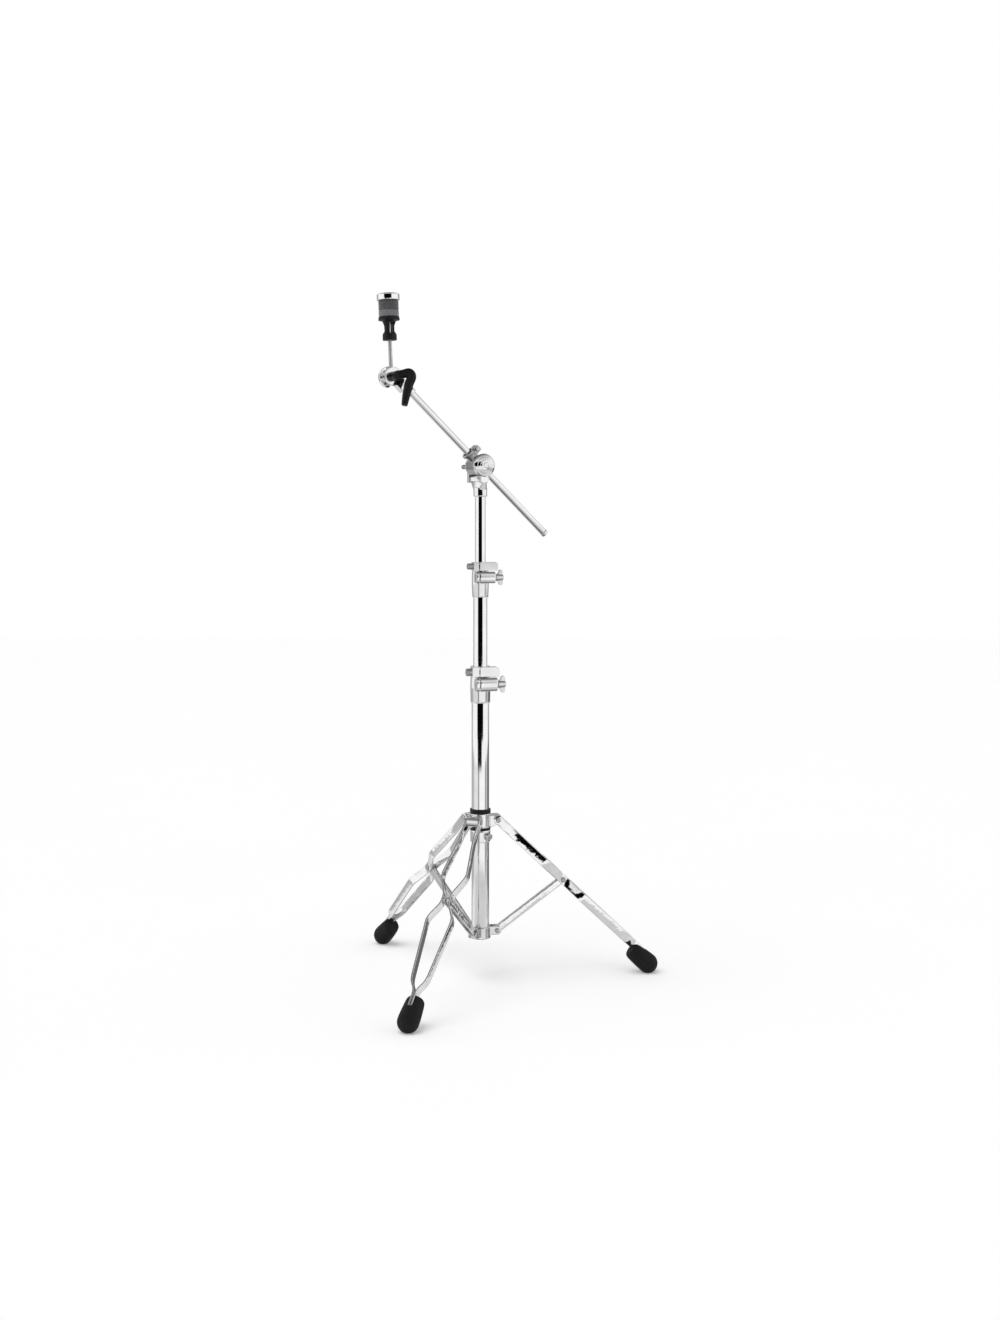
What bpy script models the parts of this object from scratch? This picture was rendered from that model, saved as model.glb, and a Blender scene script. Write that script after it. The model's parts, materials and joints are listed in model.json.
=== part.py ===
"""Cymbal boom stand: three double-braced legs, two telescoping height tubes with memory
locks, a pitching boom clamp, a boom arm and a cymbal tilter with seat, felts and top nut.

Metres, +Z up. The stand's own axis is vertical; the tilter end of the boom points to -X
and the side that carries the tilter lever faces -Y. Every body has an empty on its joint.
"""

import math

import bmesh
import bpy
from mathutils import Matrix, Vector

# ---------------------------------------------------------------- driving dimensions
STAND_AXIS_X = -0.0567         # stand's vertical axis, so that the box is centred on the origin
STAND_AXIS_Y = 0.0237

GAP = 0.0003                   # clearance between touching pieces
HALF_GAP = 0.5 * GAP

BASE_R = 0.015875              # 1 1/4 inch base tube
BASE_WALL = 0.0018
BASE_BOTTOM_Z = 0.0790
BASE_TOP_Z = 0.5265
MIDDLE_R = 0.0127              # 1 inch middle tube
MIDDLE_WALL = 0.0015
MIDDLE_BOTTOM_Z = 0.2200
MIDDLE_TOP_Z = 0.7215
UPPER_R = 0.009525             # 3/4 inch upper tube
UPPER_WALL = 0.0015
UPPER_BOTTOM_Z = 0.4600
UPPER_TOP_Z = 0.8900

# Tripod: leg azimuths are measured from -Y towards +X.
LEG_AZIMUTHS = (math.radians(-141.3), math.radians(-21.3), math.radians(98.7))
LEG_SLOPE = math.radians(43.2)         # below the horizontal, in use
LEG_PIVOT_R = 0.0310
LEG_PIVOT_Z = 0.2915
LEG_JOINT_S = 0.1660                   # from the leg's pivot to its rivet
LEG_LENGTH = 0.3720
LEG_STRAP_WIDTH = 0.0160
LEG_STRAP_THICK = 0.0030
HUB_PIVOT_R = 0.0300
HUB_PIVOT_Z = 0.0900
COLLAR_TRAVEL = 0.1080                 # collar's rise when the tripod is folded
BRACE_WIDTH = 0.0127
BRACE_THICK = 0.0025
BRACE_T = 0.0034                       # middle of a brace strap from the leg's plane
PIN_R = 0.0027
PIN_HOLE_R = PIN_R + 2.0 * GAP
FOOT_R = 0.0185
FOOT_HALF = 0.0120                     # from the boot's middle to the centre of its round end
FOOT_CENTRE_R = 0.3030
FOOT_CENTRE_Z = 0.0245
FOOT_TILT = math.radians(40.0)         # boot's axis below the horizontal
FOOT_POCKET_S = 0.3300                 # where the pocket starts, down the leg from its pivot
POCKET_GAP = 0.0004                    # pocket's clearance around the strap ends

# Height clamps and memory locks.
CLAMP_TURN = math.radians(20.0)        # clamp bolts point to +X, turned this much towards +Y

# Boom clamp, boom and tilter. The boom's vertical plane is turned from the XZ plane.
BOOM_TURN = math.radians(30.0)
BOOM_PITCH = math.radians(42.0)
BOOM_PIVOT_Z = 0.9340
BOOM_R = 0.00635                       # 1/2 inch boom
BOOM_WALL = 0.0014
BOOM_LOW_END = -0.1860                 # along the boom from the clamp's pivot
BOOM_HIGH_END = 0.1965
TILT_PIVOT_S = 0.2356                  # tilter's pivot along the boom, from the clamp's pivot
TILT_PIVOT_OFF = -0.0073               # and across it, in the boom's vertical plane
POST_LEAN = math.radians(2.5)          # post's lean from the vertical, away from the stand
POST_R = 0.0034
POST_Y = -0.0010                       # post's middle from the boom's plane
SEAT_BOTTOM = 0.0639                   # distances along the post, from the tilter's pivot
SEAT_TOP = 0.1052
FELT_SPLIT = 0.1167
FELT_TOP = 0.1339
FELT_R = 0.0178
NUT_TOP = 0.1466
NUT_R = 0.0200
POST_TOP = 0.1420
SLEEVE_R = 0.0055                      # nylon sleeve through the felts
SLEEVE_TOP = 0.1310

ROUND_STEPS = 20
SMALL_STEPS = 12
HOLE_STEPS = 8

# ---------------------------------------------------------------- materials
MATERIALS = {
    "chrome": ((0.82, 0.83, 0.84), 0.08, 1.0),
    "cast_chrome": ((0.72, 0.71, 0.71), 0.22, 1.0),
    "steel": ((0.55, 0.55, 0.56), 0.30, 1.0),
    "nylon": ((0.020, 0.020, 0.021), 0.45, 0.0),
    "rubber": ((0.022, 0.022, 0.023), 0.62, 0.0),
    "lever": ((0.018, 0.018, 0.018), 0.35, 0.0),
    "dark_felt": ((0.085, 0.090, 0.095), 0.95, 0.0),
    "grey_felt": ((0.170, 0.165, 0.175), 0.95, 0.0),
}


def clear_scene():
    """Remove every object that the file starts with."""
    for obj in list(bpy.data.objects):
        bpy.data.objects.remove(obj, do_unlink=True)


def make_material(name):
    """A Principled material for one kind of surface."""
    colour, roughness, metallic = MATERIALS[name]
    mat = bpy.data.materials.new(name)
    mat.use_nodes = True
    shader = mat.node_tree.nodes["Principled BSDF"]
    shader.inputs["Base Color"].default_value = (*colour, 1.0)
    shader.inputs["Roughness"].default_value = roughness
    shader.inputs["Metallic"].default_value = metallic
    return mat


clear_scene()
MATERIAL = {name: make_material(name) for name in MATERIALS}
PARTS = bpy.data.collections.new("cymbal_boom_stand")
TOOLS = bpy.data.collections.new("cutters")
bpy.context.scene.collection.children.link(PARTS)
bpy.context.scene.collection.children.link(TOOLS)


# ---------------------------------------------------------------- frames
def frame(origin, x_axis, y_axis, z_axis):
    """A matrix from an origin and three axes."""
    rotation = Matrix((x_axis, y_axis, z_axis)).transposed().to_4x4()
    return Matrix.Translation(origin) @ rotation


def shift(x=0.0, y=0.0, z=0.0):
    return Matrix.Translation((x, y, z))


Z_TO_X = Matrix.Rotation(math.radians(90.0), 4, "Y")      # a piece turned about Z lies along +X
Z_TO_Y = Matrix.Rotation(math.radians(-90.0), 4, "X")     # and along +Y
UP = Vector((0.0, 0.0, 1.0))
STAND = shift(STAND_AXIS_X, STAND_AXIS_Y, 0.0)

BOOM_H = Vector((math.cos(BOOM_TURN), math.sin(BOOM_TURN), 0.0))     # level, in the boom's plane
BOOM_SIDE = UP.cross(BOOM_H)                                         # away from the lever side
BOOM_DIR = -math.cos(BOOM_PITCH) * BOOM_H + math.sin(BOOM_PITCH) * UP
BOOM_ORIGIN = STAND @ Vector((0.0, 0.0, BOOM_PIVOT_Z))
YOKE = frame(BOOM_ORIGIN, BOOM_H, BOOM_SIDE, UP)
BOOM = frame(BOOM_ORIGIN, BOOM_SIDE.cross(BOOM_DIR), BOOM_SIDE, BOOM_DIR)
TILT_ORIGIN = BOOM @ Vector((TILT_PIVOT_OFF, 0.0, TILT_PIVOT_S))
TILTER = frame(TILT_ORIGIN, BOOM_H, BOOM_SIDE, UP)
POST_DIR = math.cos(POST_LEAN) * UP - math.sin(POST_LEAN) * BOOM_H
POST = frame(TILT_ORIGIN + POST_Y * BOOM_SIDE, BOOM_SIDE.cross(POST_DIR), BOOM_SIDE, POST_DIR)


def outward(azimuth):
    """Level unit vector away from the stand's axis at an azimuth."""
    return Vector((math.sin(azimuth), -math.cos(azimuth), 0.0))


def sideways(azimuth):
    """Level unit vector across a leg, along its pins."""
    return Vector((math.cos(azimuth), math.sin(azimuth), 0.0))


def leg_frame(azimuth):
    """X down the leg from its pivot, Y along the pin."""
    down_leg = math.cos(LEG_SLOPE) * outward(azimuth) - math.sin(LEG_SLOPE) * UP
    origin = STAND @ (LEG_PIVOT_R * outward(azimuth) + LEG_PIVOT_Z * UP)
    return frame(origin, down_leg, sideways(azimuth), down_leg.cross(sideways(azimuth)))


def joint_point():
    """Leg and brace joint in use, as (distance from the axis, height)."""
    return (LEG_PIVOT_R + LEG_JOINT_S * math.cos(LEG_SLOPE),
            LEG_PIVOT_Z - LEG_JOINT_S * math.sin(LEG_SLOPE))


def brace_length():
    reach, height = joint_point()
    return math.hypot(reach - HUB_PIVOT_R, height - HUB_PIVOT_Z)


def brace_slope():
    """Brace's angle above the horizontal, in use."""
    reach, height = joint_point()
    return math.atan2(height - HUB_PIVOT_Z, reach - HUB_PIVOT_R)


def brace_frame(azimuth):
    """X up the brace from its hub pin, Y along the pin."""
    slope = brace_slope()
    up_brace = math.cos(slope) * outward(azimuth) + math.sin(slope) * UP
    origin = STAND @ (HUB_PIVOT_R * outward(azimuth) + HUB_PIVOT_Z * UP)
    return frame(origin, up_brace, sideways(azimuth), up_brace.cross(sideways(azimuth)))


def folded_turns():
    """How far a leg and a brace turn when the collar is at the top of its travel."""
    across = LEG_PIVOT_R - HUB_PIVOT_R
    along = LEG_PIVOT_Z + COLLAR_TRAVEL - HUB_PIVOT_Z
    span = math.hypot(across, along)
    lean = math.atan2(across, along)
    upper, lower = LEG_JOINT_S, brace_length()
    at_collar = math.acos((upper ** 2 + span ** 2 - lower ** 2) / (2.0 * upper * span))
    at_hub = math.acos((lower ** 2 + span ** 2 - upper ** 2) / (2.0 * lower * span))
    leg_turn = math.radians(90.0) - LEG_SLOPE - (at_collar - lean)
    brace_turn = math.radians(90.0) - brace_slope() - (at_hub + lean)
    return leg_turn, brace_turn


# ---------------------------------------------------------------- bodies
BODY_FRAME = {}
BODY_EMPTY = {}


def make_body(name, world):
    """An empty on the joint that moves this body."""
    empty = bpy.data.objects.new("at_" + name, None)
    empty.empty_display_size = 0.02
    empty.matrix_world = world
    PARTS.objects.link(empty)
    BODY_FRAME[name] = world
    BODY_EMPTY[name] = empty


def place(obj, body, world, material):
    """Put a finished piece on its body, at a world frame, with its material."""
    obj.parent = BODY_EMPTY[body]
    obj.matrix_basis = BODY_FRAME[body].inverted() @ world
    obj.data.materials.clear()
    obj.data.materials.append(MATERIAL[material])
    PARTS.objects.link(obj)
    return obj


# ---------------------------------------------------------------- shapes
def turned(name, profile, steps=ROUND_STEPS, closed=False):
    """A profile of (radius, height) turned about Z; it runs down its outer side."""
    mesh = bpy.data.meshes.new(name)
    count = len(profile)
    edges = [(i, i + 1) for i in range(count - 1)]
    if closed:
        edges.append((count - 1, 0))
    mesh.from_pydata([(radius, 0.0, height) for radius, height in profile], edges, [])
    obj = bpy.data.objects.new(name, mesh)
    screw = obj.modifiers.new("turn", "SCREW")
    screw.axis = "Z"
    screw.angle = 2.0 * math.pi
    screw.steps = steps
    screw.render_steps = steps
    screw.use_merge_vertices = True
    screw.merge_threshold = 0.00001
    screw.use_smooth_shade = True
    return obj


def ring(name, inner, outer, bottom, top, steps=ROUND_STEPS, chamfer=0.0):
    """A plain sleeve, with an optional chamfer on its outer edges."""
    profile = [(outer - chamfer, top)]
    if chamfer:
        profile += [(outer, top - chamfer), (outer, bottom + chamfer)]
    profile += [(outer - chamfer, bottom), (inner, bottom), (inner, top)]
    return turned(name, profile, steps, closed=True)


def cylinder(name, radius, bottom, top, steps=SMALL_STEPS):
    """A solid round bar along Z."""
    mesh = bpy.data.meshes.new(name)
    shape = bmesh.new()
    bmesh.ops.create_cone(shape, cap_ends=True, segments=steps, radius1=radius, radius2=radius,
                          depth=top - bottom, matrix=shift(z=0.5 * (bottom + top)))
    shape.to_mesh(mesh)
    shape.free()
    return bpy.data.objects.new(name, mesh)


def block(name, low, high):
    """A box between two corners."""
    mesh = bpy.data.meshes.new(name)
    shape = bmesh.new()
    size = [b - a for a, b in zip(low, high)]
    middle = [0.5 * (a + b) for a, b in zip(low, high)]
    bmesh.ops.create_cube(shape, size=1.0, matrix=shift(*middle) @ Matrix.Diagonal((*size, 1.0)))
    shape.to_mesh(mesh)
    shape.free()
    return bpy.data.objects.new(name, mesh)


def curve_to_mesh(curve_object, name):
    """The curve's evaluated surface as a closed mesh object."""
    bpy.context.scene.collection.objects.link(curve_object)
    bpy.context.view_layer.update()
    graph = bpy.context.evaluated_depsgraph_get()
    mesh = bpy.data.meshes.new_from_object(curve_object.evaluated_get(graph))
    mesh.name = name
    shape = bmesh.new()
    shape.from_mesh(mesh)
    bmesh.ops.remove_doubles(shape, verts=shape.verts, dist=0.00001)
    bmesh.ops.recalc_face_normals(shape, faces=shape.faces)
    shape.to_mesh(mesh)
    shape.free()
    data = curve_object.data
    bpy.data.objects.remove(curve_object, do_unlink=True)
    bpy.data.curves.remove(data)
    return bpy.data.objects.new(name, mesh)


def prism(name, outlines, depth):
    """Flat outlines in XY (the first outer, the rest holes), extruded evenly along Z."""
    curve = bpy.data.curves.new(name + "_outline", "CURVE")
    curve.dimensions = "2D"
    curve.fill_mode = "BOTH"
    curve.extrude = 0.5 * depth
    for outline in outlines:
        spline = curve.splines.new("POLY")
        spline.points.add(len(outline) - 1)
        for point, (x, y) in zip(spline.points, outline):
            point.co = (x, y, 0.0, 1.0)
        spline.use_cyclic_u = True
    return curve_to_mesh(bpy.data.objects.new(name + "_outline", curve), name)


def swept(name, points, radii, sides=2):
    """A round bar of changing radius along a smooth path, with closed ends."""
    curve = bpy.data.curves.new(name + "_path", "CURVE")
    curve.dimensions = "3D"
    curve.bevel_depth = 1.0
    curve.bevel_resolution = sides
    curve.use_fill_caps = True
    curve.resolution_u = 3
    spline = curve.splines.new("BEZIER")
    spline.bezier_points.add(len(points) - 1)
    for point, place_at, radius in zip(spline.bezier_points, points, radii):
        point.co = place_at
        point.handle_left_type = "AUTO"
        point.handle_right_type = "AUTO"
        point.radius = radius
    return curve_to_mesh(bpy.data.objects.new(name + "_path", curve), name)


def arc(centre, radius, start, end, count):
    """Points on an arc, angles in degrees, both ends included."""
    turns = [math.radians(start + (end - start) * i / count) for i in range(count + 1)]
    return [(centre[0] + radius * math.cos(a), centre[1] + radius * math.sin(a)) for a in turns]


def circle(centre, radius, count=10):
    return arc(centre, radius, 0.0, 360.0, count)[:-1]


def stadium(x_low, x_high, radius, count=5):
    """A bar with round ends centred on x_low and x_high."""
    return (arc((x_high, 0.0), radius, -90.0, 90.0, count)
            + arc((x_low, 0.0), radius, 90.0, 270.0, count))


def combine(target, tool, local, operation):
    """Boolean a tool, placed in the target's own frame, into the target."""
    tool.parent = target
    tool.matrix_basis = local
    tool.hide_render = True
    tool.display_type = "WIRE"
    TOOLS.objects.link(tool)
    boolean = target.modifiers.new(tool.name, "BOOLEAN")
    boolean.operation = operation
    boolean.solver = "EXACT"
    boolean.object = tool
    return target


def cut(target, tool, local=Matrix.Identity(4)):
    return combine(target, tool, local, "DIFFERENCE")


def join(target, tool, local=Matrix.Identity(4)):
    return combine(target, tool, local, "UNION")


def headed_pin(name, radius, half, head_radius, head):
    """A pin with a flat head on each end, along Z."""
    outer = half + head
    return turned(name, [(0.0, outer), (head_radius, outer), (head_radius, half), (radius, half),
                         (radius, -half), (head_radius, -half), (head_radius, -outer),
                         (0.0, -outer)], SMALL_STEPS)


# ---------------------------------------------------------------- base: tube and hub
HUB_BOTTOM_Z = 0.0765
HUB_TOP_Z = 0.0970
HUB_OUTER_R = 0.0185
HUB_EAR_INNER_T = 0.0053
HUB_EAR_OUTER_T = 0.0085
HUB_EAR_NOSE_R = 0.0080
PIN_HEAD_R = 0.0050
PIN_HEAD = 0.0018


def build_base():
    base = ring("base_tube", BASE_R - BASE_WALL, BASE_R, BASE_BOTTOM_Z, BASE_TOP_Z)
    place(base, "base", STAND, "chrome")

    bore = BASE_R + GAP
    floor_z = BASE_BOTTOM_Z - GAP
    hub = turned("lower_hub", [(0.0, floor_z), (bore, floor_z), (bore, HUB_TOP_Z),
                               (HUB_OUTER_R - 0.001, HUB_TOP_Z), (HUB_OUTER_R, HUB_TOP_Z - 0.001),
                               (HUB_OUTER_R, HUB_BOTTOM_Z + 0.001),
                               (HUB_OUTER_R - 0.001, HUB_BOTTOM_Z), (0.0, HUB_BOTTOM_Z)])
    ear_depth = HUB_EAR_OUTER_T - HUB_EAR_INNER_T
    ear_t = 0.5 * (HUB_EAR_OUTER_T + HUB_EAR_INNER_T)
    nose = arc((HUB_PIVOT_R, HUB_PIVOT_Z), HUB_EAR_NOSE_R, -90.0, 90.0, 5)
    root_r = 0.0168
    outline = nose + [(root_r, HUB_PIVOT_Z + HUB_EAR_NOSE_R), (root_r, HUB_PIVOT_Z - HUB_EAR_NOSE_R)]
    for number, azimuth in enumerate(LEG_AZIMUTHS, 1):
        # An ear's outline has X away from the stand's axis and Y up; its depth lies along the pin.
        upright = frame(Vector((0.0, 0.0, 0.0)), outward(azimuth), UP, outward(azimuth).cross(UP))
        for side in (-1.0, 1.0):
            ear = prism(f"hub_ear_{number}_{int(side)}", [outline], ear_depth)
            join(hub, ear, upright @ shift(z=side * ear_t))
        hole = cylinder(f"hub_hole_{number}", PIN_HOLE_R, -0.02, 0.02, HOLE_STEPS)
        cut(hub, hole, upright @ shift(HUB_PIVOT_R, HUB_PIVOT_Z, 0.0))
    place(hub, "base", STAND, "cast_chrome")

    for number, azimuth in enumerate(LEG_AZIMUTHS, 1):
        pin = headed_pin(f"hub_pin_{number}", PIN_R, HUB_EAR_OUTER_T + GAP, PIN_HEAD_R, PIN_HEAD)
        place(pin, "base", brace_frame(azimuth) @ Z_TO_Y, "steel")


# ---------------------------------------------------------------- tripod
COLLAR_BOTTOM_Z = 0.2515
COLLAR_TOP_Z = 0.3030
COLLAR_R = 0.0182
COLLAR_LUG_T = 0.0112
COLLAR_LUG_NOSE_R = 0.0085
BUSH_TOP_Z = 0.3110
LOCK_SCREW_AZIMUTH = math.radians(40.0)
LOCK_SCREW_Z = 0.2633
LOCK_SCREW_R = 0.0029
LOCK_SCREW_HEAD_R = 0.0056
LOCK_BOSS_R = 0.0062
LOCK_BOSS_END = 0.0198                 # from the stand's axis


def lock_screw_frame():
    """Z along the collar's lock screw, away from the stand's axis."""
    away = outward(LOCK_SCREW_AZIMUTH)
    return frame(STAND @ (LOCK_SCREW_Z * UP), sideways(LOCK_SCREW_AZIMUTH),
                 away.cross(sideways(LOCK_SCREW_AZIMUTH)), away)


def build_collar():
    inner = BASE_R + GAP
    collar = ring("leg_collar", inner, COLLAR_R, COLLAR_BOTTOM_Z, COLLAR_TOP_Z, chamfer=0.001)
    nose = arc((LEG_PIVOT_R, LEG_PIVOT_Z), COLLAR_LUG_NOSE_R, -90.0, 90.0, 5)
    root_r = 0.0170
    outline = nose + [(root_r, LEG_PIVOT_Z + COLLAR_LUG_NOSE_R),
                      (root_r, LEG_PIVOT_Z - COLLAR_LUG_NOSE_R - 0.006)]
    for number, azimuth in enumerate(LEG_AZIMUTHS, 1):
        upright = frame(Vector((0.0, 0.0, 0.0)), outward(azimuth), UP, outward(azimuth).cross(UP))
        lug = prism(f"collar_lug_{number}", [outline], 2.0 * COLLAR_LUG_T)
        join(collar, lug, upright)
        hole = cylinder(f"collar_hole_{number}", PIN_HOLE_R, -0.02, 0.02, HOLE_STEPS)
        cut(collar, hole, upright @ shift(LEG_PIVOT_R, LEG_PIVOT_Z, 0.0))
    screw_place = STAND.inverted() @ lock_screw_frame()
    join(collar, cylinder("collar_boss", LOCK_BOSS_R, 0.0172, LOCK_BOSS_END), screw_place)
    cut(collar, cylinder("collar_bore", inner, COLLAR_BOTTOM_Z - 0.01, COLLAR_TOP_Z + 0.01,
                         ROUND_STEPS))
    screw_hole = cylinder("collar_screw_hole", LOCK_SCREW_R + GAP, 0.0100, 0.0250, HOLE_STEPS)
    cut(collar, screw_hole, screw_place)
    place(collar, "leg_collar", STAND, "cast_chrome")

    bush = ring("collar_bush", inner, COLLAR_R + 0.0006, COLLAR_TOP_Z + GAP, BUSH_TOP_Z)
    place(bush, "leg_collar", STAND, "nylon")

    head_low = LOCK_BOSS_END + 0.0004
    tip = BASE_R + 2.0 * GAP
    screw = turned("collar_lock_screw", [
        (0.0, head_low + 0.0080), (LOCK_SCREW_HEAD_R - 0.0011, head_low + 0.0080),
        (LOCK_SCREW_HEAD_R, head_low + 0.0068), (LOCK_SCREW_HEAD_R, head_low),
        (LOCK_SCREW_R, head_low), (LOCK_SCREW_R, tip), (0.0, tip)], SMALL_STEPS)
    place(screw, "collar_lock_screw", lock_screw_frame(), "steel")

    strap_outer_t = LEG_SPREAD[0][1] + 0.5 * LEG_STRAP_THICK
    for number, azimuth in enumerate(LEG_AZIMUTHS, 1):
        pin = headed_pin(f"collar_pin_{number}", PIN_R, strap_outer_t + GAP, PIN_HEAD_R,
                         PIN_HEAD)
        place(pin, "leg_collar", leg_frame(azimuth) @ Z_TO_Y, "steel")


# Half of a leg's plan: distance down the leg and distance of a strap's middle from the
# leg's plane. The straps bow out, pinch together at the rivet and bow out again.
LEG_SPREAD = [(-0.0080, 0.0130), (0.0400, 0.0130), (0.1200, 0.0235), (0.1560, 0.0070),
              (0.1760, 0.0070), (0.2060, 0.0235), (0.3250, 0.0135), (0.3430, 0.0023),
              (0.3720, 0.0023)]


def thick_line(points, thickness):
    """The outline of a bent flat bar seen on edge, with mitred corners."""
    sides = ([], [])
    for i, (x, y) in enumerate(points):
        before = points[max(i - 1, 0)]
        after = points[min(i + 1, len(points) - 1)]
        arrive = Vector((x - before[0], y - before[1]))
        leave = Vector((after[0] - x, after[1] - y))
        arrive = (arrive if arrive.length else leave).normalized()
        leave = (leave if leave.length else arrive).normalized()
        normal = Vector((-(arrive + leave).y, (arrive + leave).x)).normalized()
        reach = 0.5 * thickness / max(normal.dot(Vector((-leave.y, leave.x))), 0.5)
        sides[0].append((x + reach * normal.x, y + reach * normal.y))
        sides[1].append((x - reach * normal.x, y - reach * normal.y))
    return sides[0] + sides[1][::-1]


def build_leg(number, azimuth):
    body = f"leg_{number}"
    world = leg_frame(azimuth)
    outer_face = LEG_SPREAD[3][1] + 0.5 * LEG_STRAP_THICK
    inner_face = LEG_SPREAD[3][1] - 0.5 * LEG_STRAP_THICK
    for side, label in ((-1.0, "near"), (1.0, "far")):
        plan = [(along, side * across) for along, across in LEG_SPREAD]
        strap = prism(f"leg_{number}_{label}_strap", [thick_line(plan, LEG_STRAP_THICK)],
                      LEG_STRAP_WIDTH)
        for hole_name, along in (("pivot", 0.0), ("rivet", LEG_JOINT_S)):
            hole = cylinder(f"{strap.name}_{hole_name}_hole", PIN_HOLE_R, 0.0, 0.03, HOLE_STEPS)
            cut(strap, hole, shift(x=along) @ (Z_TO_Y if side > 0.0 else Z_TO_Y.inverted()))
        place(strap, body, world, "chrome")
        rivet = turned(f"leg_{number}_{label}_rivet", [
            (0.0, outer_face + GAP + PIN_HEAD), (0.7 * PIN_HEAD_R, outer_face + GAP + PIN_HEAD),
            (PIN_HEAD_R, outer_face + GAP + 0.4 * PIN_HEAD), (PIN_HEAD_R, outer_face + GAP),
            (PIN_R, outer_face + GAP),
            (PIN_R, inner_face), (0.0, inner_face)], SMALL_STEPS)
        turn = Z_TO_Y if side > 0.0 else Z_TO_Y.inverted()
        place(rivet, body, world @ shift(x=LEG_JOINT_S) @ turn, "steel")
    build_foot(number, azimuth)


def build_foot(number, azimuth):
    """A rubber boot with a pocket for both strap ends and a flat where it stands."""
    axis = math.cos(FOOT_TILT) * outward(azimuth) - math.sin(FOOT_TILT) * UP
    centre = STAND @ (FOOT_CENTRE_R * outward(azimuth) + FOOT_CENTRE_Z * UP)
    world = frame(centre, axis.cross(sideways(azimuth)) * -1.0, sideways(azimuth), axis)
    low_end = arc((0.0, FOOT_HALF), FOOT_R, 90.0, 0.0, 4)
    high_end = arc((0.0, -FOOT_HALF), FOOT_R, 0.0, -90.0, 4)
    profile = [(max(radius, 0.0), height) for radius, height in low_end + high_end]
    profile[0] = (0.0, FOOT_HALF + FOOT_R)
    profile[-1] = (0.0, -FOOT_HALF - FOOT_R)
    foot = turned(f"leg_{number}_foot", profile, 16)
    half_t = LEG_SPREAD[-1][1] + 0.5 * LEG_STRAP_THICK + POCKET_GAP
    half_n = 0.5 * LEG_STRAP_WIDTH + POCKET_GAP
    pocket = block(f"foot_{number}_pocket", (FOOT_POCKET_S, -half_t, -half_n),
                   (LEG_LENGTH + POCKET_GAP, half_t, half_n))
    cut(foot, pocket, world.inverted() @ leg_frame(azimuth))
    ground = block(f"foot_{number}_ground", (-0.1, -0.1, -0.05), (0.1, 0.1, 0.0))
    level = shift(centre.x, centre.y, 0.0) @ Matrix.Rotation(azimuth, 4, "Z")
    cut(foot, ground, world.inverted() @ level)
    place(foot, f"leg_{number}", world, "rubber")


def build_brace(number, azimuth):
    length = brace_length()
    outline = stadium(0.0, length, 0.5 * BRACE_WIDTH)
    holes = [circle((along, 0.0), PIN_HOLE_R) for along in (0.0, length)]
    lie_flat = Matrix.Rotation(math.radians(90.0), 4, "X")
    for side, label in ((-1.0, "near"), (1.0, "far")):
        strap = prism(f"brace_{number}_{label}_strap", [outline] + holes, BRACE_THICK)
        world = brace_frame(azimuth) @ shift(y=side * BRACE_T) @ lie_flat
        place(strap, f"brace_{number}", world, "chrome")


# ---------------------------------------------------------------- height clamps
def clamp_frame(height, reach):
    """X along a clamp's bolt, Y away from the lever side, at a height and reach from the axis."""
    along = Vector((math.cos(CLAMP_TURN), math.sin(CLAMP_TURN), 0.0))
    across = UP.cross(along)
    return frame(STAND @ (height * UP - reach * across), along, across, UP)


def clamp_sleeve(name, bore, sleeve, lug, height, reach):
    """A split sleeve with a bolt barrel on its front; the sleeve is a list of (radius, z)."""
    low, high, half_depth, half_height, slot_bottom = lug
    body = turned(name, sleeve + [(bore, sleeve[-1][1]), (bore, sleeve[0][1])], closed=True)
    outline = [(x, y) for x, y in circle((0.0, 0.0), 1.0, 14)]
    barrel = prism(name + "_barrel", [[(half_height * x, half_depth * y) for x, y in outline]],
                   high - low)
    local = STAND.inverted() @ clamp_frame(height, reach)
    join(body, barrel, local @ shift(x=0.5 * (low + high)) @ Z_TO_X)
    cut(body, cylinder(name + "_bore", bore, sleeve[-1][1] - 0.01, sleeve[0][1] + 0.01,
                       ROUND_STEPS))
    slot = block(name + "_slot", (SPLIT_LOW, -0.5 * reach, slot_bottom - height),
                 (SPLIT_HIGH, 0.6 * reach, sleeve[0][1] + 0.01 - height))
    cut(body, slot, local @ shift(y=-0.6 * reach))
    return body, local


def wing_outline(barrel_low, barrel_high, barrel_r, reach):
    """Both wings and the hub of a wing nut seen on edge: X along its bolt."""
    middle = 0.5 * (barrel_low + barrel_high)
    tip_r = 0.30 * (barrel_high - barrel_low)
    tip_x = barrel_high - 1.15 * tip_r
    top = arc((tip_x, reach - tip_r), tip_r, 0.0, 180.0, 5)
    right = [(barrel_high, 0.5 * barrel_r)]
    left = [(barrel_low + 0.15 * (barrel_high - barrel_low), 0.5 * barrel_r)]
    upper = right + [(tip_x + tip_r, reach - tip_r)] + top[1:-1] + [(tip_x - tip_r, reach - tip_r)]
    upper += [(middle - 1.3 * tip_r, 0.95 * barrel_r)] + left
    return upper + [(x, -y) for x, y in reversed(upper)]


def wing_bolt(name, shank_r, shank_low, low, high, barrel_r, reach):
    """A wing-headed clamp bolt along X: shank, round hub and two wings."""
    bolt = turned(name, [(0.0, high), (barrel_r - 0.001, high), (barrel_r, high - 0.001),
                         (barrel_r, low + 0.001), (barrel_r - 0.001, low), (shank_r, low),
                         (shank_r, shank_low), (0.0, shank_low)], SMALL_STEPS)
    wings = prism(name + "_wings", [wing_outline(low, high, barrel_r, reach)], 0.0040)
    # The wings' outline has X along the bolt; the turned bolt has Z along it.
    join(bolt, wings, frame(Vector((0.0, 0.0, 0.0)), Vector((0.0, 0.0, 1.0)),
                            Vector((1.0, 0.0, 0.0)), Vector((0.0, 1.0, 0.0))))
    return bolt


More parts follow.
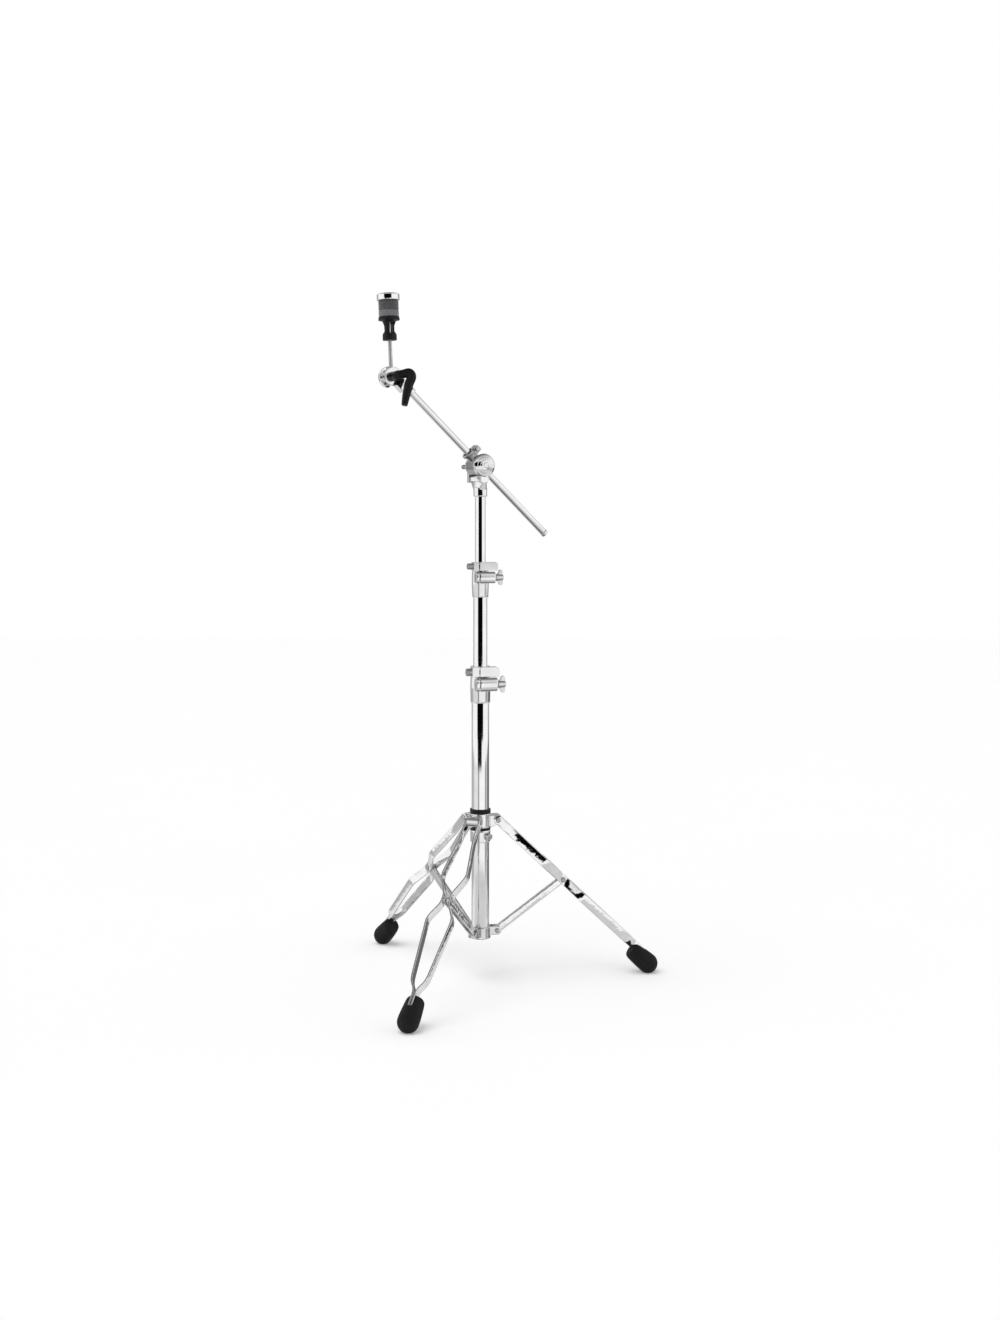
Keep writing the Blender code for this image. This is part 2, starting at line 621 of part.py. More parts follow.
LOWER_CLAMP_Z = 0.5380
LOWER_CLAMP_REACH = 0.0215
UPPER_CLAMP_Z = 0.7312
UPPER_CLAMP_REACH = 0.0188
LOWER_CLAMP_TOP_Z = 0.5510
UPPER_CLAMP_TOP_Z = 0.7420
LOWER_LOCK_Z = 0.5610
UPPER_LOCK_Z = 0.7514
LOWER_LOCK_TOP_Z = 0.5702
UPPER_LOCK_TOP_Z = 0.7588
LOWER_LOCK_REACH = 0.0195
UPPER_LOCK_REACH = 0.0165
CLAMP_BOLT_Y = -0.0010                 # clamp and lock bolts from their barrels' middles
LOCK_BOLT_Y = -0.0008
CLAMP_BOLT_R = 0.0030
CLAMP_BOLT_TIP = -0.0145               # where the shank starts, along the bolt
LOCK_BOLT_R = 0.0025
LOCK_BOLT_TIP = 0.0220
LOCK_KNOB = 0.0092                     # length of a lock bolt's knob
SPLIT_LOW = -0.0105                    # the saw cut through a clamp's barrel, along its bolt
SPLIT_HIGH = -0.0088


def build_clamp(label, body, tube_r, inner_tube_r, tube_top, sleeve, lug, height, reach, wing):
    bore = tube_r + GAP
    clamp, _ = clamp_sleeve(f"{label}_clamp_body", bore, sleeve, lug, height, reach)
    hole = cylinder(f"{label}_clamp_bolt_hole", CLAMP_BOLT_R + 2.0 * GAP, -0.03, 0.04, HOLE_STEPS)
    bolt_place = clamp_frame(height, reach) @ shift(y=CLAMP_BOLT_Y) @ Z_TO_X
    cut(clamp, hole, STAND.inverted() @ bolt_place)
    place(clamp, body, STAND, "cast_chrome")
    bush = ring(f"{label}_clamp_bush", inner_tube_r + GAP, tube_r, tube_top + GAP,
                sleeve[0][1] - GAP)
    place(bush, body, STAND, "nylon")
    low, high, barrel_r, wing_reach = wing
    bolt = wing_bolt(f"{label}_clamp_wing_bolt", CLAMP_BOLT_R, CLAMP_BOLT_TIP, low, high, barrel_r,
                     wing_reach)
    place(bolt, f"{label}_clamp_wing_bolt", bolt_place, "cast_chrome")


def build_memory_lock(label, tube_r, outer, bottom, top, height, reach, lug, knob_r):
    bore = tube_r + GAP
    name = f"{label}_memory_lock"
    sleeve = [(outer - 0.0008, top), (outer, top - 0.0008), (outer, bottom)]
    lock, _ = clamp_sleeve(name, bore, sleeve, lug, height, reach)
    bolt_place = clamp_frame(height, reach) @ shift(y=LOCK_BOLT_Y) @ Z_TO_X
    cut(lock, cylinder(name + "_bolt_hole", LOCK_BOLT_R + 2.0 * GAP, -0.04, 0.04, HOLE_STEPS),
        STAND.inverted() @ bolt_place)
    place(lock, name, STAND, "cast_chrome")
    knob_high = lug[0] - GAP
    knob_low = knob_high - LOCK_KNOB
    bolt = turned(name + "_bolt", [
        (0.0, LOCK_BOLT_TIP), (LOCK_BOLT_R, LOCK_BOLT_TIP), (LOCK_BOLT_R, knob_high),
        (knob_r, knob_high), (knob_r, knob_low + 0.0012), (knob_r - 0.001, knob_low),
        (0.0, knob_low)], SMALL_STEPS)
    place(bolt, name, bolt_place, "steel")


def build_heights():
    """Each clamp: its sleeve, its barrel's ends, half sizes and saw cut's foot, and its wing's
    ends, hub radius and reach. Each lock: its barrel likewise, and its knob's radius."""
    sleeve = [(0.0178, LOWER_CLAMP_TOP_Z), (0.0184, 0.5300), (0.0178, 0.5060), (0.0172, 0.5033)]
    build_clamp("lower", "base", BASE_R, MIDDLE_R, BASE_TOP_Z, sleeve,
                (-0.0165, 0.0240, 0.0085, 0.0124, 0.5255), LOWER_CLAMP_Z, LOWER_CLAMP_REACH,
                (0.0245, 0.0400, 0.0066, 0.0155))
    sleeve = [(0.0152, UPPER_CLAMP_TOP_Z), (0.0156, 0.7200), (0.0148, 0.6970), (0.0143, 0.6950)]
    build_clamp("upper", "middle_tube", MIDDLE_R, UPPER_R, MIDDLE_TOP_Z, sleeve,
                (-0.0160, 0.0210, 0.0080, 0.0106, 0.7205), UPPER_CLAMP_Z, UPPER_CLAMP_REACH,
                (0.0215, 0.0365, 0.0062, 0.0142))
    build_memory_lock("lower", MIDDLE_R, 0.0178, LOWER_CLAMP_TOP_Z + 0.0006, LOWER_LOCK_TOP_Z,
                      LOWER_LOCK_Z, LOWER_LOCK_REACH, (-0.0240, 0.0275, 0.0065, 0.0088, 0.5),
                      0.0070)
    build_memory_lock("upper", UPPER_R, 0.0150, UPPER_CLAMP_TOP_Z + 0.0006, UPPER_LOCK_TOP_Z,
                      UPPER_LOCK_Z, UPPER_LOCK_REACH, (-0.0210, 0.0270, 0.0060, 0.0078, 0.7),
                      0.0058)
    middle = ring("middle_tube", MIDDLE_R - MIDDLE_WALL, MIDDLE_R, MIDDLE_BOTTOM_Z, MIDDLE_TOP_Z)
    place(middle, "middle_tube", STAND, "chrome")
    upper = ring("upper_tube", UPPER_R - UPPER_WALL, UPPER_R, UPPER_BOTTOM_Z, UPPER_TOP_Z)
    place(upper, "upper_tube", STAND, "chrome")


# ---------------------------------------------------------------- boom yoke and clamp
CHEEK_NEAR_Y = -0.0105          # inner face of the lever-side cheek, from the boom's plane
CHEEK_NEAR_R = 0.0215
CHEEK_FAR_Y = 0.0190
CHEEK_FAR_OUT_Y = 0.0270
CHEEK_FAR_R = 0.0175
SADDLE_Z = -0.0290              # top of the yoke's saddle, from the pivot
SADDLE_HALF_X = 0.0100
SOCKET_R = 0.0125
SOCKET_BOTTOM = -0.0560
DOME_RISE = 0.0060
TRUNNION_R = 0.0060
PIVOT_BOLT_R = 0.0040
PIVOT_BOLT_TIP_Y = 0.0660
BUSH_R = 0.0083
DRUM_R = 0.0205
PINCH_X = 0.0157                # pinch bolt, across the boom and along it
PINCH_S = 0.0275
PINCH_R = 0.0024
BOOM_WING_LOW = 0.0276          # wing nut's ends, along the pivot bolt
BOOM_WING_HIGH = 0.0470
BOOM_WING_HUB_R = 0.0085


def hull_of(name, points):
    """The smallest convex solid around some points."""
    mesh = bpy.data.meshes.new(name)
    shape = bmesh.new()
    for point in points:
        shape.verts.new(point)
    bmesh.ops.convex_hull(shape, input=shape.verts)
    bmesh.ops.recalc_face_normals(shape, faces=shape.faces)
    shape.to_mesh(mesh)
    shape.free()
    return bpy.data.objects.new(name, mesh)


def build_yoke():
    """A clevis casting on the upper tube: socket, flared saddle and two cheeks."""
    bore = UPPER_R + GAP
    tube_top = UPPER_TOP_Z - BOOM_PIVOT_Z + GAP
    yoke = turned("boom_yoke", [(0.0, -0.0400), (SOCKET_R, -0.0400), (SOCKET_R, SOCKET_BOTTOM),
                                (bore, SOCKET_BOTTOM), (bore, tube_top), (0.0, tube_top)])
    low_ring = [(x, y, SOCKET_BOTTOM + 0.0030)
                for x, y in circle((0.0, 0.0), SOCKET_R - 0.0002, 20)]
    saddle_low_y = CHEEK_NEAR_Y - 0.0060
    corners = [(x, y, z) for x in (-SADDLE_HALF_X, SADDLE_HALF_X)
               for y in (saddle_low_y, CHEEK_FAR_OUT_Y)
               for z in (SADDLE_Z - 0.0035, SADDLE_Z)]
    join(yoke, hull_of("yoke_saddle", low_ring + corners))
    near_web = block("yoke_near_web", (-0.0080, saddle_low_y + 0.0003, SADDLE_Z - 0.002),
                     (0.0080, CHEEK_NEAR_Y - 0.0003, -0.0050))
    join(yoke, near_web)
    far_web = block("yoke_far_web", (-0.0130, CHEEK_FAR_Y + 0.0003, SADDLE_Z - 0.0015),
                    (0.0130, CHEEK_FAR_OUT_Y - 0.0004, -0.0040))
    join(yoke, far_web)
    rim = -CHEEK_NEAR_Y + 0.0060
    dome = [(0.0, rim + DOME_RISE), (0.0070, rim + 0.92 * DOME_RISE),
            (0.0135, rim + 0.64 * DOME_RISE), (0.0185, rim + 0.26 * DOME_RISE),
            (CHEEK_NEAR_R, rim - 0.0008),
            (CHEEK_NEAR_R, -CHEEK_NEAR_Y), (0.0, -CHEEK_NEAR_Y)]
    join(yoke, turned("yoke_dome", dome), Z_TO_Y.inverted())
    far_disc = turned("yoke_far_disc", [
        (0.0, CHEEK_FAR_OUT_Y), (CHEEK_FAR_R - 0.0010, CHEEK_FAR_OUT_Y),
        (CHEEK_FAR_R, CHEEK_FAR_OUT_Y - 0.0010), (CHEEK_FAR_R, CHEEK_FAR_Y - 0.0002),
        (0.0, CHEEK_FAR_Y - 0.0002)])
    join(yoke, far_disc, Z_TO_Y)
    cut(yoke, cylinder("yoke_socket", bore, -0.0700, tube_top - 0.00002, ROUND_STEPS))
    cut(yoke, cylinder("yoke_bolt_hole", PIVOT_BOLT_R + GAP, 0.0150, 0.0300), Z_TO_Y)
    cut(yoke, cylinder("yoke_trunnion_hole", TRUNNION_R + GAP, -0.0152, -0.0090), Z_TO_Y)
    place(yoke, "upper_tube", YOKE, "cast_chrome")


def build_boom_clamp():
    """The drum that holds the boom, with a collar and pinch bolt on its upper end."""
    along_y = Z_TO_Y
    drum = turned("boom_clamp_housing", [
        (0.0, 0.0185), (DRUM_R - 0.001, 0.0185), (DRUM_R, 0.0175), (DRUM_R, -0.0092),
        (DRUM_R - 0.001, -0.0100), (TRUNNION_R, -0.0100), (TRUNNION_R, -0.0147), (0.0, -0.0147)])
    to_boom = along_y.inverted()            # from the boom's frame to the turned drum's own
    neck = turned("clamp_neck", [(0.0, 0.0355), (0.0117, 0.0355), (0.0125, 0.0347),
                                 (0.0125, 0.0302), (0.0098, 0.0296), (0.0098, 0.0050),
                                 (0.0, 0.0050)])
    join(drum, neck, to_boom)
    ear = block("clamp_ear", (0.0040, -0.0080, 0.0215), (0.0205, 0.0080, 0.0330))
    join(drum, ear, to_boom)
    bore = cylinder("clamp_bore", BUSH_R + GAP, -0.03, 0.05, ROUND_STEPS)
    cut(drum, bore, to_boom)
    ear_slot = block("clamp_ear_slot", (0.0050, -0.0010, 0.0190), (0.0220, 0.0010, 0.0400))
    cut(drum, ear_slot, to_boom)
    pinch = shift(PINCH_X, 0.0, PINCH_S) @ Z_TO_Y
    cut(drum, cylinder("clamp_pinch_hole", PINCH_R + 2.0 * GAP, -0.02, 0.02, HOLE_STEPS),
        to_boom @ pinch)
    cut(drum, cylinder("clamp_bolt_hole", PIVOT_BOLT_R + GAP, 0.0104, 0.0200))
    place(drum, "boom_clamp", BOOM @ along_y, "cast_chrome")

    screw = turned("boom_clamp_screw", [
        (0.0, 0.0115), (PINCH_R, 0.0115), (PINCH_R, -0.0083), (0.0045, -0.0083),
        (0.0045, -0.0110), (0.0038, -0.0118), (0.0, -0.0118)], SMALL_STEPS)
    place(screw, "boom_clamp", BOOM @ pinch, "steel")

    bolt = turned("boom_pivot_bolt", [
        (0.0, PIVOT_BOLT_TIP_Y), (PIVOT_BOLT_R - 0.001, PIVOT_BOLT_TIP_Y),
        (PIVOT_BOLT_R, PIVOT_BOLT_TIP_Y - 0.001), (PIVOT_BOLT_R, 0.0107), (0.0, 0.0107)],
        SMALL_STEPS)
    place(bolt, "boom_clamp", BOOM @ along_y, "steel")

    wing = ring("boom_wing_nut", PIVOT_BOLT_R + GAP, BOOM_WING_HUB_R, BOOM_WING_LOW,
                BOOM_WING_HIGH, SMALL_STEPS, chamfer=0.001)
    wings = prism("boom_wings", [wing_outline(BOOM_WING_LOW, BOOM_WING_HIGH, BOOM_WING_HUB_R,
                                              0.0185)], 0.0046)
    join(wing, wings, frame(Vector((0.0, 0.0, 0.0)), Vector((0.0, 0.0, 1.0)),
                            Vector((1.0, 0.0, 0.0)), Vector((0.0, 1.0, 0.0))))
    cut(wing, cylinder("boom_wing_bore", PIVOT_BOLT_R + GAP, 0.0200, 0.0600))
    # The wings stand upright, whatever the boom's pitch.
    upright = YOKE @ Z_TO_Y @ Matrix.Rotation(math.radians(90.0), 4, "Z")
    place(wing, "boom_wing_nut", upright, "cast_chrome")

    bush = ring("boom_bush", BOOM_R + GAP, BUSH_R, -0.0195, 0.0340, ROUND_STEPS)
    place(bush, "boom_bush", BOOM, "nylon")


def build_boom():
    arm = ring("boom_arm", BOOM_R - BOOM_WALL, BOOM_R, BOOM_LOW_END + 0.0065, BOOM_HIGH_END,
               ROUND_STEPS)
    place(arm, "boom_arm", BOOM, "chrome")
    plug_r = BOOM_R - BOOM_WALL - GAP
    lip = BOOM_LOW_END + 0.0062
    cap = turned("boom_end_cap", [
        (0.0, lip + 0.010), (plug_r, lip + 0.010), (plug_r, lip), (0.0069, lip),
        (0.0069, BOOM_LOW_END + 0.0012), (0.0058, BOOM_LOW_END), (0.0, BOOM_LOW_END)])
    place(cap, "boom_arm", BOOM, "steel")


# ---------------------------------------------------------------- tilter
TILT_BLOCK_R = 0.0120
TILT_DISC_R = 0.0190
LEVER_SHANK_R = 0.0032
NECK_START = 0.1870             # tilter's neck starts here, along the boom


def build_tilter_body():
    """The fixed half on the boom's end: neck, bridge and lever-side cheek."""
    body = turned("tilter_body", [
        (0.0, 0.2155), (0.0072, 0.2155), (0.0082, 0.2145), (0.0082, NECK_START + 0.0075),
        (0.0092, NECK_START + 0.0065), (0.0092, NECK_START + 0.0008), (0.0084, NECK_START),
        (BOOM_R + GAP, NECK_START), (BOOM_R + GAP, BOOM_HIGH_END + GAP),
        (0.0, BOOM_HIGH_END + GAP)])
    join(body, block("tilter_bridge", (-0.0150, -0.0130, 0.2030), (0.0040, 0.0040, 0.2218)))
    cheek = cylinder("tilter_cheek", 0.0165, 0.0070, 0.0130, ROUND_STEPS)
    pivot = shift(TILT_PIVOT_OFF, 0.0, TILT_PIVOT_S)
    join(body, cheek, pivot @ Z_TO_Y.inverted())
    cut(body, cylinder("tilter_cheek_hole", LEVER_SHANK_R + GAP, -0.0200, 0.0), pivot @ Z_TO_Y)
    place(body, "boom_arm", BOOM, "cast_chrome")


def build_tilter_disc():
    """The moving half: a ratchet drum with the post's block, and a flat towards the boom."""
    bore = LEVER_SHANK_R + GAP
    disc = turned("tilter_disc", [
        (0.0, 0.0172), (0.0120, 0.0166), (0.0175, 0.0150), (TILT_DISC_R, 0.0130),
        (TILT_DISC_R, 0.0052), (TILT_BLOCK_R, 0.0052), (TILT_BLOCK_R, -0.0067), (bore, -0.0067),
        (bore, 0.0130), (0.0, 0.0130)])
    to_tilter = Z_TO_Y.inverted()
    flat = block("tilter_flat", (-0.0300, 0.0045, -0.0300), (0.0300, 0.0200, -0.0112))
    turn_to_boom = TILTER.inverted() @ BOOM
    turn_to_boom.translation = (0.0, 0.0, 0.0)
    cut(disc, flat, to_tilter @ turn_to_boom)
    hole = cylinder("tilter_post_hole", POST_R + GAP, 0.0045, 0.0400)
    cut(disc, hole, to_tilter @ TILTER.inverted() @ POST)
    place(disc, "tilter", TILTER @ Z_TO_Y, "chrome")


def build_lever():
    """A hand lever: hub and screw on the tilter's axis, an elbow and a hanging grip."""
    lever = turned("tilter_lever", [
        (0.0, 0.0300), (0.0065, 0.0300), (0.0085, 0.0280), (0.0085, 0.0136),
        (LEVER_SHANK_R, 0.0136), (LEVER_SHANK_R, -0.0125), (0.0, -0.0125)])
    path = [(0.0000, -0.0215, 0.0000), (0.0105, -0.0275, 0.0032), (0.0212, -0.0335, 0.0036),
            (0.0160, -0.0365, -0.0180), (0.0108, -0.0380, -0.0360), (0.0064, -0.0400, -0.0530)]
    radii = [0.0077, 0.0078, 0.0084, 0.0081, 0.0070, 0.0055]
    join(lever, swept("lever_grip", path, radii), Z_TO_Y)
    place(lever, "tilter_lever", TILTER @ Z_TO_Y.inverted(), "lever")


def build_cymbal_post():
    post = cylinder("cymbal_post", POST_R, 0.0048, POST_TOP)
    place(post, "tilter", POST, "steel")
    bore = POST_R + GAP
    seat = turned("cymbal_seat", [
        (SLEEVE_R, SLEEVE_TOP), (SLEEVE_R, SEAT_TOP - 0.0002), (0.0180, SEAT_TOP - 0.0002),
        (0.0190, SEAT_TOP - 0.0060), (0.0172, SEAT_TOP - 0.0062), (0.0120, SEAT_TOP - 0.0080),
        (0.0088, 0.0880), (0.0085, 0.0800), (0.0120, 0.0750), (0.0125, 0.0740),
        (0.0125, SEAT_BOTTOM + 0.001), (0.0115, SEAT_BOTTOM), (bore, SEAT_BOTTOM),
        (bore, SLEEVE_TOP)], closed=True)
    place(seat, "tilter", POST, "nylon")
    felt_bore = SLEEVE_R + GAP
    lower = ring("lower_felt", felt_bore, FELT_R, SEAT_TOP + HALF_GAP, FELT_SPLIT - HALF_GAP,
                 chamfer=0.0008)
    place(lower, "tilter", POST, "grey_felt")
    upper = ring("upper_felt", felt_bore, FELT_R, FELT_SPLIT + HALF_GAP, FELT_TOP, chamfer=0.0008)
    place(upper, "upper_felt", POST, "dark_felt")
    nut_low = FELT_TOP + GAP
    nut = turned("top_nut", [
        (0.0, NUT_TOP), (0.0120, NUT_TOP - 0.0005), (0.0172, NUT_TOP - 0.0014),
        (0.0192, NUT_TOP - 0.0028), (NUT_R, NUT_TOP - 0.0050), (NUT_R, nut_low + 0.001),
        (NUT_R - 0.001, nut_low), (bore, nut_low), (bore, POST_TOP + GAP),
        (0.0, POST_TOP + GAP)])
    place(nut, "top_nut", POST, "chrome")


# ---------------------------------------------------------------- assembly
def build_bodies():
    make_body("base", STAND)
    make_body("leg_collar", STAND @ shift(z=LEG_PIVOT_Z))
    make_body("collar_lock_screw", lock_screw_frame())
    for number, azimuth in enumerate(LEG_AZIMUTHS, 1):
        make_body(f"leg_{number}", leg_frame(azimuth))
        make_body(f"brace_{number}", brace_frame(azimuth))
    make_body("lower_clamp_wing_bolt", clamp_frame(LOWER_CLAMP_Z, LOWER_CLAMP_REACH))
    make_body("lower_memory_lock", STAND @ shift(z=LOWER_LOCK_Z))
    make_body("middle_tube", STAND @ shift(z=MIDDLE_TOP_Z))
    make_body("upper_clamp_wing_bolt", clamp_frame(UPPER_CLAMP_Z, UPPER_CLAMP_REACH))
    make_body("upper_memory_lock", STAND @ shift(z=UPPER_LOCK_Z))
    make_body("upper_tube", STAND @ shift(z=UPPER_TOP_Z))
    make_body("boom_clamp", BOOM)
    make_body("boom_wing_nut", BOOM)
    make_body("boom_bush", BOOM)
    make_body("boom_arm", BOOM)
    make_body("tilter", TILTER)
    make_body("tilter_lever", TILTER)
    make_body("upper_felt", POST)
    make_body("top_nut", POST)


def build_stand():
    build_bodies()
    build_base()
    build_collar()
    for number, azimuth in enumerate(LEG_AZIMUTHS, 1):
        build_leg(number, azimuth)
        build_brace(number, azimuth)
    build_heights()
    build_yoke()
    build_boom_clamp()
    build_boom()
    build_tilter_body()
    build_tilter_disc()
    build_lever()
    build_cymbal_post()
    bpy.context.view_layer.update()


build_stand()
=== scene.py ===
"""Cymbal boom stand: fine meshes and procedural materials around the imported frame.

Metres, +Z up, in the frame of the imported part. Every fine piece stands for CAD nodes and
rides on their body, so it follows every pose.
"""

import json
import math
from math import radians

import bmesh
import bpy
from mathutils import Matrix, Vector, noise

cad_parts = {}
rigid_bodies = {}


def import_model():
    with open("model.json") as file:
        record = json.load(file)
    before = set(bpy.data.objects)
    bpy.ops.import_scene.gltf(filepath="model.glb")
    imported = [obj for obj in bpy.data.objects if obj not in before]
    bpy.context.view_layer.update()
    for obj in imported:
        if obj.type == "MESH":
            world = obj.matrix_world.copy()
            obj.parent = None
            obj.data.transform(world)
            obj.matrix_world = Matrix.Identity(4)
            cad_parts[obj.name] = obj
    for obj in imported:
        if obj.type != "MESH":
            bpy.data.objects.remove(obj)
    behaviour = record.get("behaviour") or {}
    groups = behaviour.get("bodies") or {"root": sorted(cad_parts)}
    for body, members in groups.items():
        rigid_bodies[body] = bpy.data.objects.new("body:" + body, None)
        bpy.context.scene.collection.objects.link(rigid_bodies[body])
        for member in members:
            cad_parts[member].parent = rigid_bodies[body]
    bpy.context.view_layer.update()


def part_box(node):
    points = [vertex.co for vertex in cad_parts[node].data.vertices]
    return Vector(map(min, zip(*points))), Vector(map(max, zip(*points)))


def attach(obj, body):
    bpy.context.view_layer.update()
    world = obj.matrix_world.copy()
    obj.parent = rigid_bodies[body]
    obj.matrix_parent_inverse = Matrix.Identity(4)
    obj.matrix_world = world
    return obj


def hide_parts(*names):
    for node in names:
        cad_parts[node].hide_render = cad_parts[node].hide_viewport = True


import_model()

# ---- dimensions
TUBE_LOW, TUBE_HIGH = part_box("base_tube")
STAND_X = 0.5 * (TUBE_LOW.x + TUBE_HIGH.x)
STAND_Y = 0.5 * (TUBE_LOW.y + TUBE_HIGH.y)

GAP = 0.0003
BASE_R = 0.015875
BASE_WALL = 0.0018
MIDDLE_R = 0.0127
MIDDLE_WALL = 0.0015
UPPER_R = 0.009525
UPPER_WALL = 0.0015
BASE_BOTTOM_Z = 0.0790
BASE_TOP_Z = 0.5265
MIDDLE_BOTTOM_Z = 0.2200
MIDDLE_TOP_Z = 0.7215
UPPER_BOTTOM_Z = 0.4600
UPPER_TOP_Z = 0.8900

LEG_AZIMUTHS = (radians(-141.3), radians(-21.3), radians(98.7))
LEG_SLOPE = radians(43.2)
LEG_PIVOT_R = 0.0310
LEG_PIVOT_Z = 0.2915
LEG_JOINT_S = 0.1660
LEG_LENGTH = 0.3720
STRAP_WIDTH = 0.0160
STRAP_THICK = 0.0030
LEG_PLAN = [(-0.0080, 0.0130), (0.0400, 0.0130), (0.1200, 0.0235), (0.1560, 0.0070),
            (0.1760, 0.0070), (0.2060, 0.0235), (0.3250, 0.0135), (0.3430, 0.0023),
            (0.3720, 0.0023)]
HUB_PIVOT_R = 0.0300
HUB_PIVOT_Z = 0.0900
BRACE_WIDTH = 0.0127
BRACE_THICK = 0.0025
BRACE_T = 0.0034
PIN_R = 0.0027
HOLE_R = PIN_R + 2.0 * GAP
FOOT_R = 0.0185
FOOT_HALF = 0.0120
FOOT_CENTRE_R = 0.3030
FOOT_CENTRE_Z = 0.0245
FOOT_TILT = radians(40.0)

CLAMP_TURN = radians(20.0)
LOWER_CLAMP_Z = 0.5380
LOWER_CLAMP_REACH = 0.0215
UPPER_CLAMP_Z = 0.7312
UPPER_CLAMP_REACH = 0.0188
LOWER_CLAMP_TOP_Z = 0.5510
UPPER_CLAMP_TOP_Z = 0.7420
LOWER_LOCK_Z = 0.5610
UPPER_LOCK_Z = 0.7514
LOWER_LOCK_TOP_Z = 0.5702
UPPER_LOCK_TOP_Z = 0.7588
LOWER_LOCK_REACH = 0.0195
UPPER_LOCK_REACH = 0.0165

BOOM_TURN = radians(30.0)
BOOM_PITCH = radians(42.0)
BOOM_PIVOT_Z = 0.9340
BOOM_R = 0.00635
BOOM_WALL = 0.0014
BOOM_LOW_END = -0.1860
BOOM_HIGH_END = 0.1965
BUSH_R = 0.0083
TILT_PIVOT_S = 0.2356
TILT_PIVOT_OFF = -0.0073
POST_LEAN = radians(2.5)
POST_R = 0.0034
POST_Y = -0.0010
SEAT_BOTTOM = 0.0639
SEAT_TOP = 0.1052
FELT_SPLIT = 0.1167
FELT_TOP = 0.1339
FELT_R = 0.0178
NUT_TOP = 0.1466
NUT_R = 0.0200
POST_TOP = 0.1420
SCREW_AZIMUTH = radians(40.0)

FINE = 96
MEDIUM = 48
SMALL = 32


# ---- frames
def frame(origin, x_axis, y_axis, z_axis):
    """A matrix from an origin and three axes."""
    return Matrix.Translation(origin) @ Matrix((x_axis, y_axis, z_axis)).transposed().to_4x4()


def shift(x=0.0, y=0.0, z=0.0):
    return Matrix.Translation((x, y, z))


Z_TO_X = Matrix.Rotation(radians(90.0), 4, "Y")
Z_TO_Y = Matrix.Rotation(radians(-90.0), 4, "X")
Y_TO_Z = Matrix.Rotation(radians(90.0), 4, "X")
ORIGIN = Vector((0.0, 0.0, 0.0))
UP = Vector((0.0, 0.0, 1.0))
STAND = shift(STAND_X, STAND_Y, 0.0)
BOOM_H = Vector((math.cos(BOOM_TURN), math.sin(BOOM_TURN), 0.0))
BOOM_SIDE = UP.cross(BOOM_H)
BOOM_DIR = -math.cos(BOOM_PITCH) * BOOM_H + math.sin(BOOM_PITCH) * UP
BOOM_ORIGIN = STAND @ Vector((0.0, 0.0, BOOM_PIVOT_Z))
YOKE = frame(BOOM_ORIGIN, BOOM_H, BOOM_SIDE, UP)
BOOM = frame(BOOM_ORIGIN, BOOM_SIDE.cross(BOOM_DIR), BOOM_SIDE, BOOM_DIR)
TILT_ORIGIN = BOOM @ Vector((TILT_PIVOT_OFF, 0.0, TILT_PIVOT_S))
TILTER = frame(TILT_ORIGIN, BOOM_H, BOOM_SIDE, UP)
POST_DIR = math.cos(POST_LEAN) * UP - math.sin(POST_LEAN) * BOOM_H
POST = frame(TILT_ORIGIN + POST_Y * BOOM_SIDE, BOOM_SIDE.cross(POST_DIR), BOOM_SIDE, POST_DIR)


def outward(azimuth):
    """Level unit vector away from the stand's axis; azimuths run from -Y towards +X."""
    return Vector((math.sin(azimuth), -math.cos(azimuth), 0.0))


def sideways(azimuth):
    return Vector((math.cos(azimuth), math.sin(azimuth), 0.0))


def upright(azimuth):
    """X away from the stand's axis, Y up."""
    return frame(ORIGIN, outward(azimuth), UP, outward(azimuth).cross(UP))


def leg_frame(azimuth):
    """X down the leg from its pivot, Y along the pin."""
    down = math.cos(LEG_SLOPE) * outward(azimuth) - math.sin(LEG_SLOPE) * UP
    origin = STAND @ (LEG_PIVOT_R * outward(azimuth) + LEG_PIVOT_Z * UP)
    return frame(origin, down, sideways(azimuth), down.cross(sideways(azimuth)))


def brace_span():
    """Level and upright distance from a hub pin to the rivet that joins brace and leg."""
    return (LEG_PIVOT_R + LEG_JOINT_S * math.cos(LEG_SLOPE) - HUB_PIVOT_R,
            LEG_PIVOT_Z - LEG_JOINT_S * math.sin(LEG_SLOPE) - HUB_PIVOT_Z)


def brace_frame(azimuth):
    """X up the brace from its hub pin, Y along the pin."""
    slope = math.atan2(*reversed(brace_span()))
    up_brace = math.cos(slope) * outward(azimuth) + math.sin(slope) * UP
    origin = STAND @ (HUB_PIVOT_R * outward(azimuth) + HUB_PIVOT_Z * UP)
    return frame(origin, up_brace, sideways(azimuth), up_brace.cross(sideways(azimuth)))


def clamp_frame(height, reach):
    """X along a clamp's bolt, Y away from the lever side, at a height and reach."""
    along = Vector((math.cos(CLAMP_TURN), math.sin(CLAMP_TURN), 0.0))
    across = UP.cross(along)
    return frame(STAND @ (height * UP - reach * across), along, across, UP)


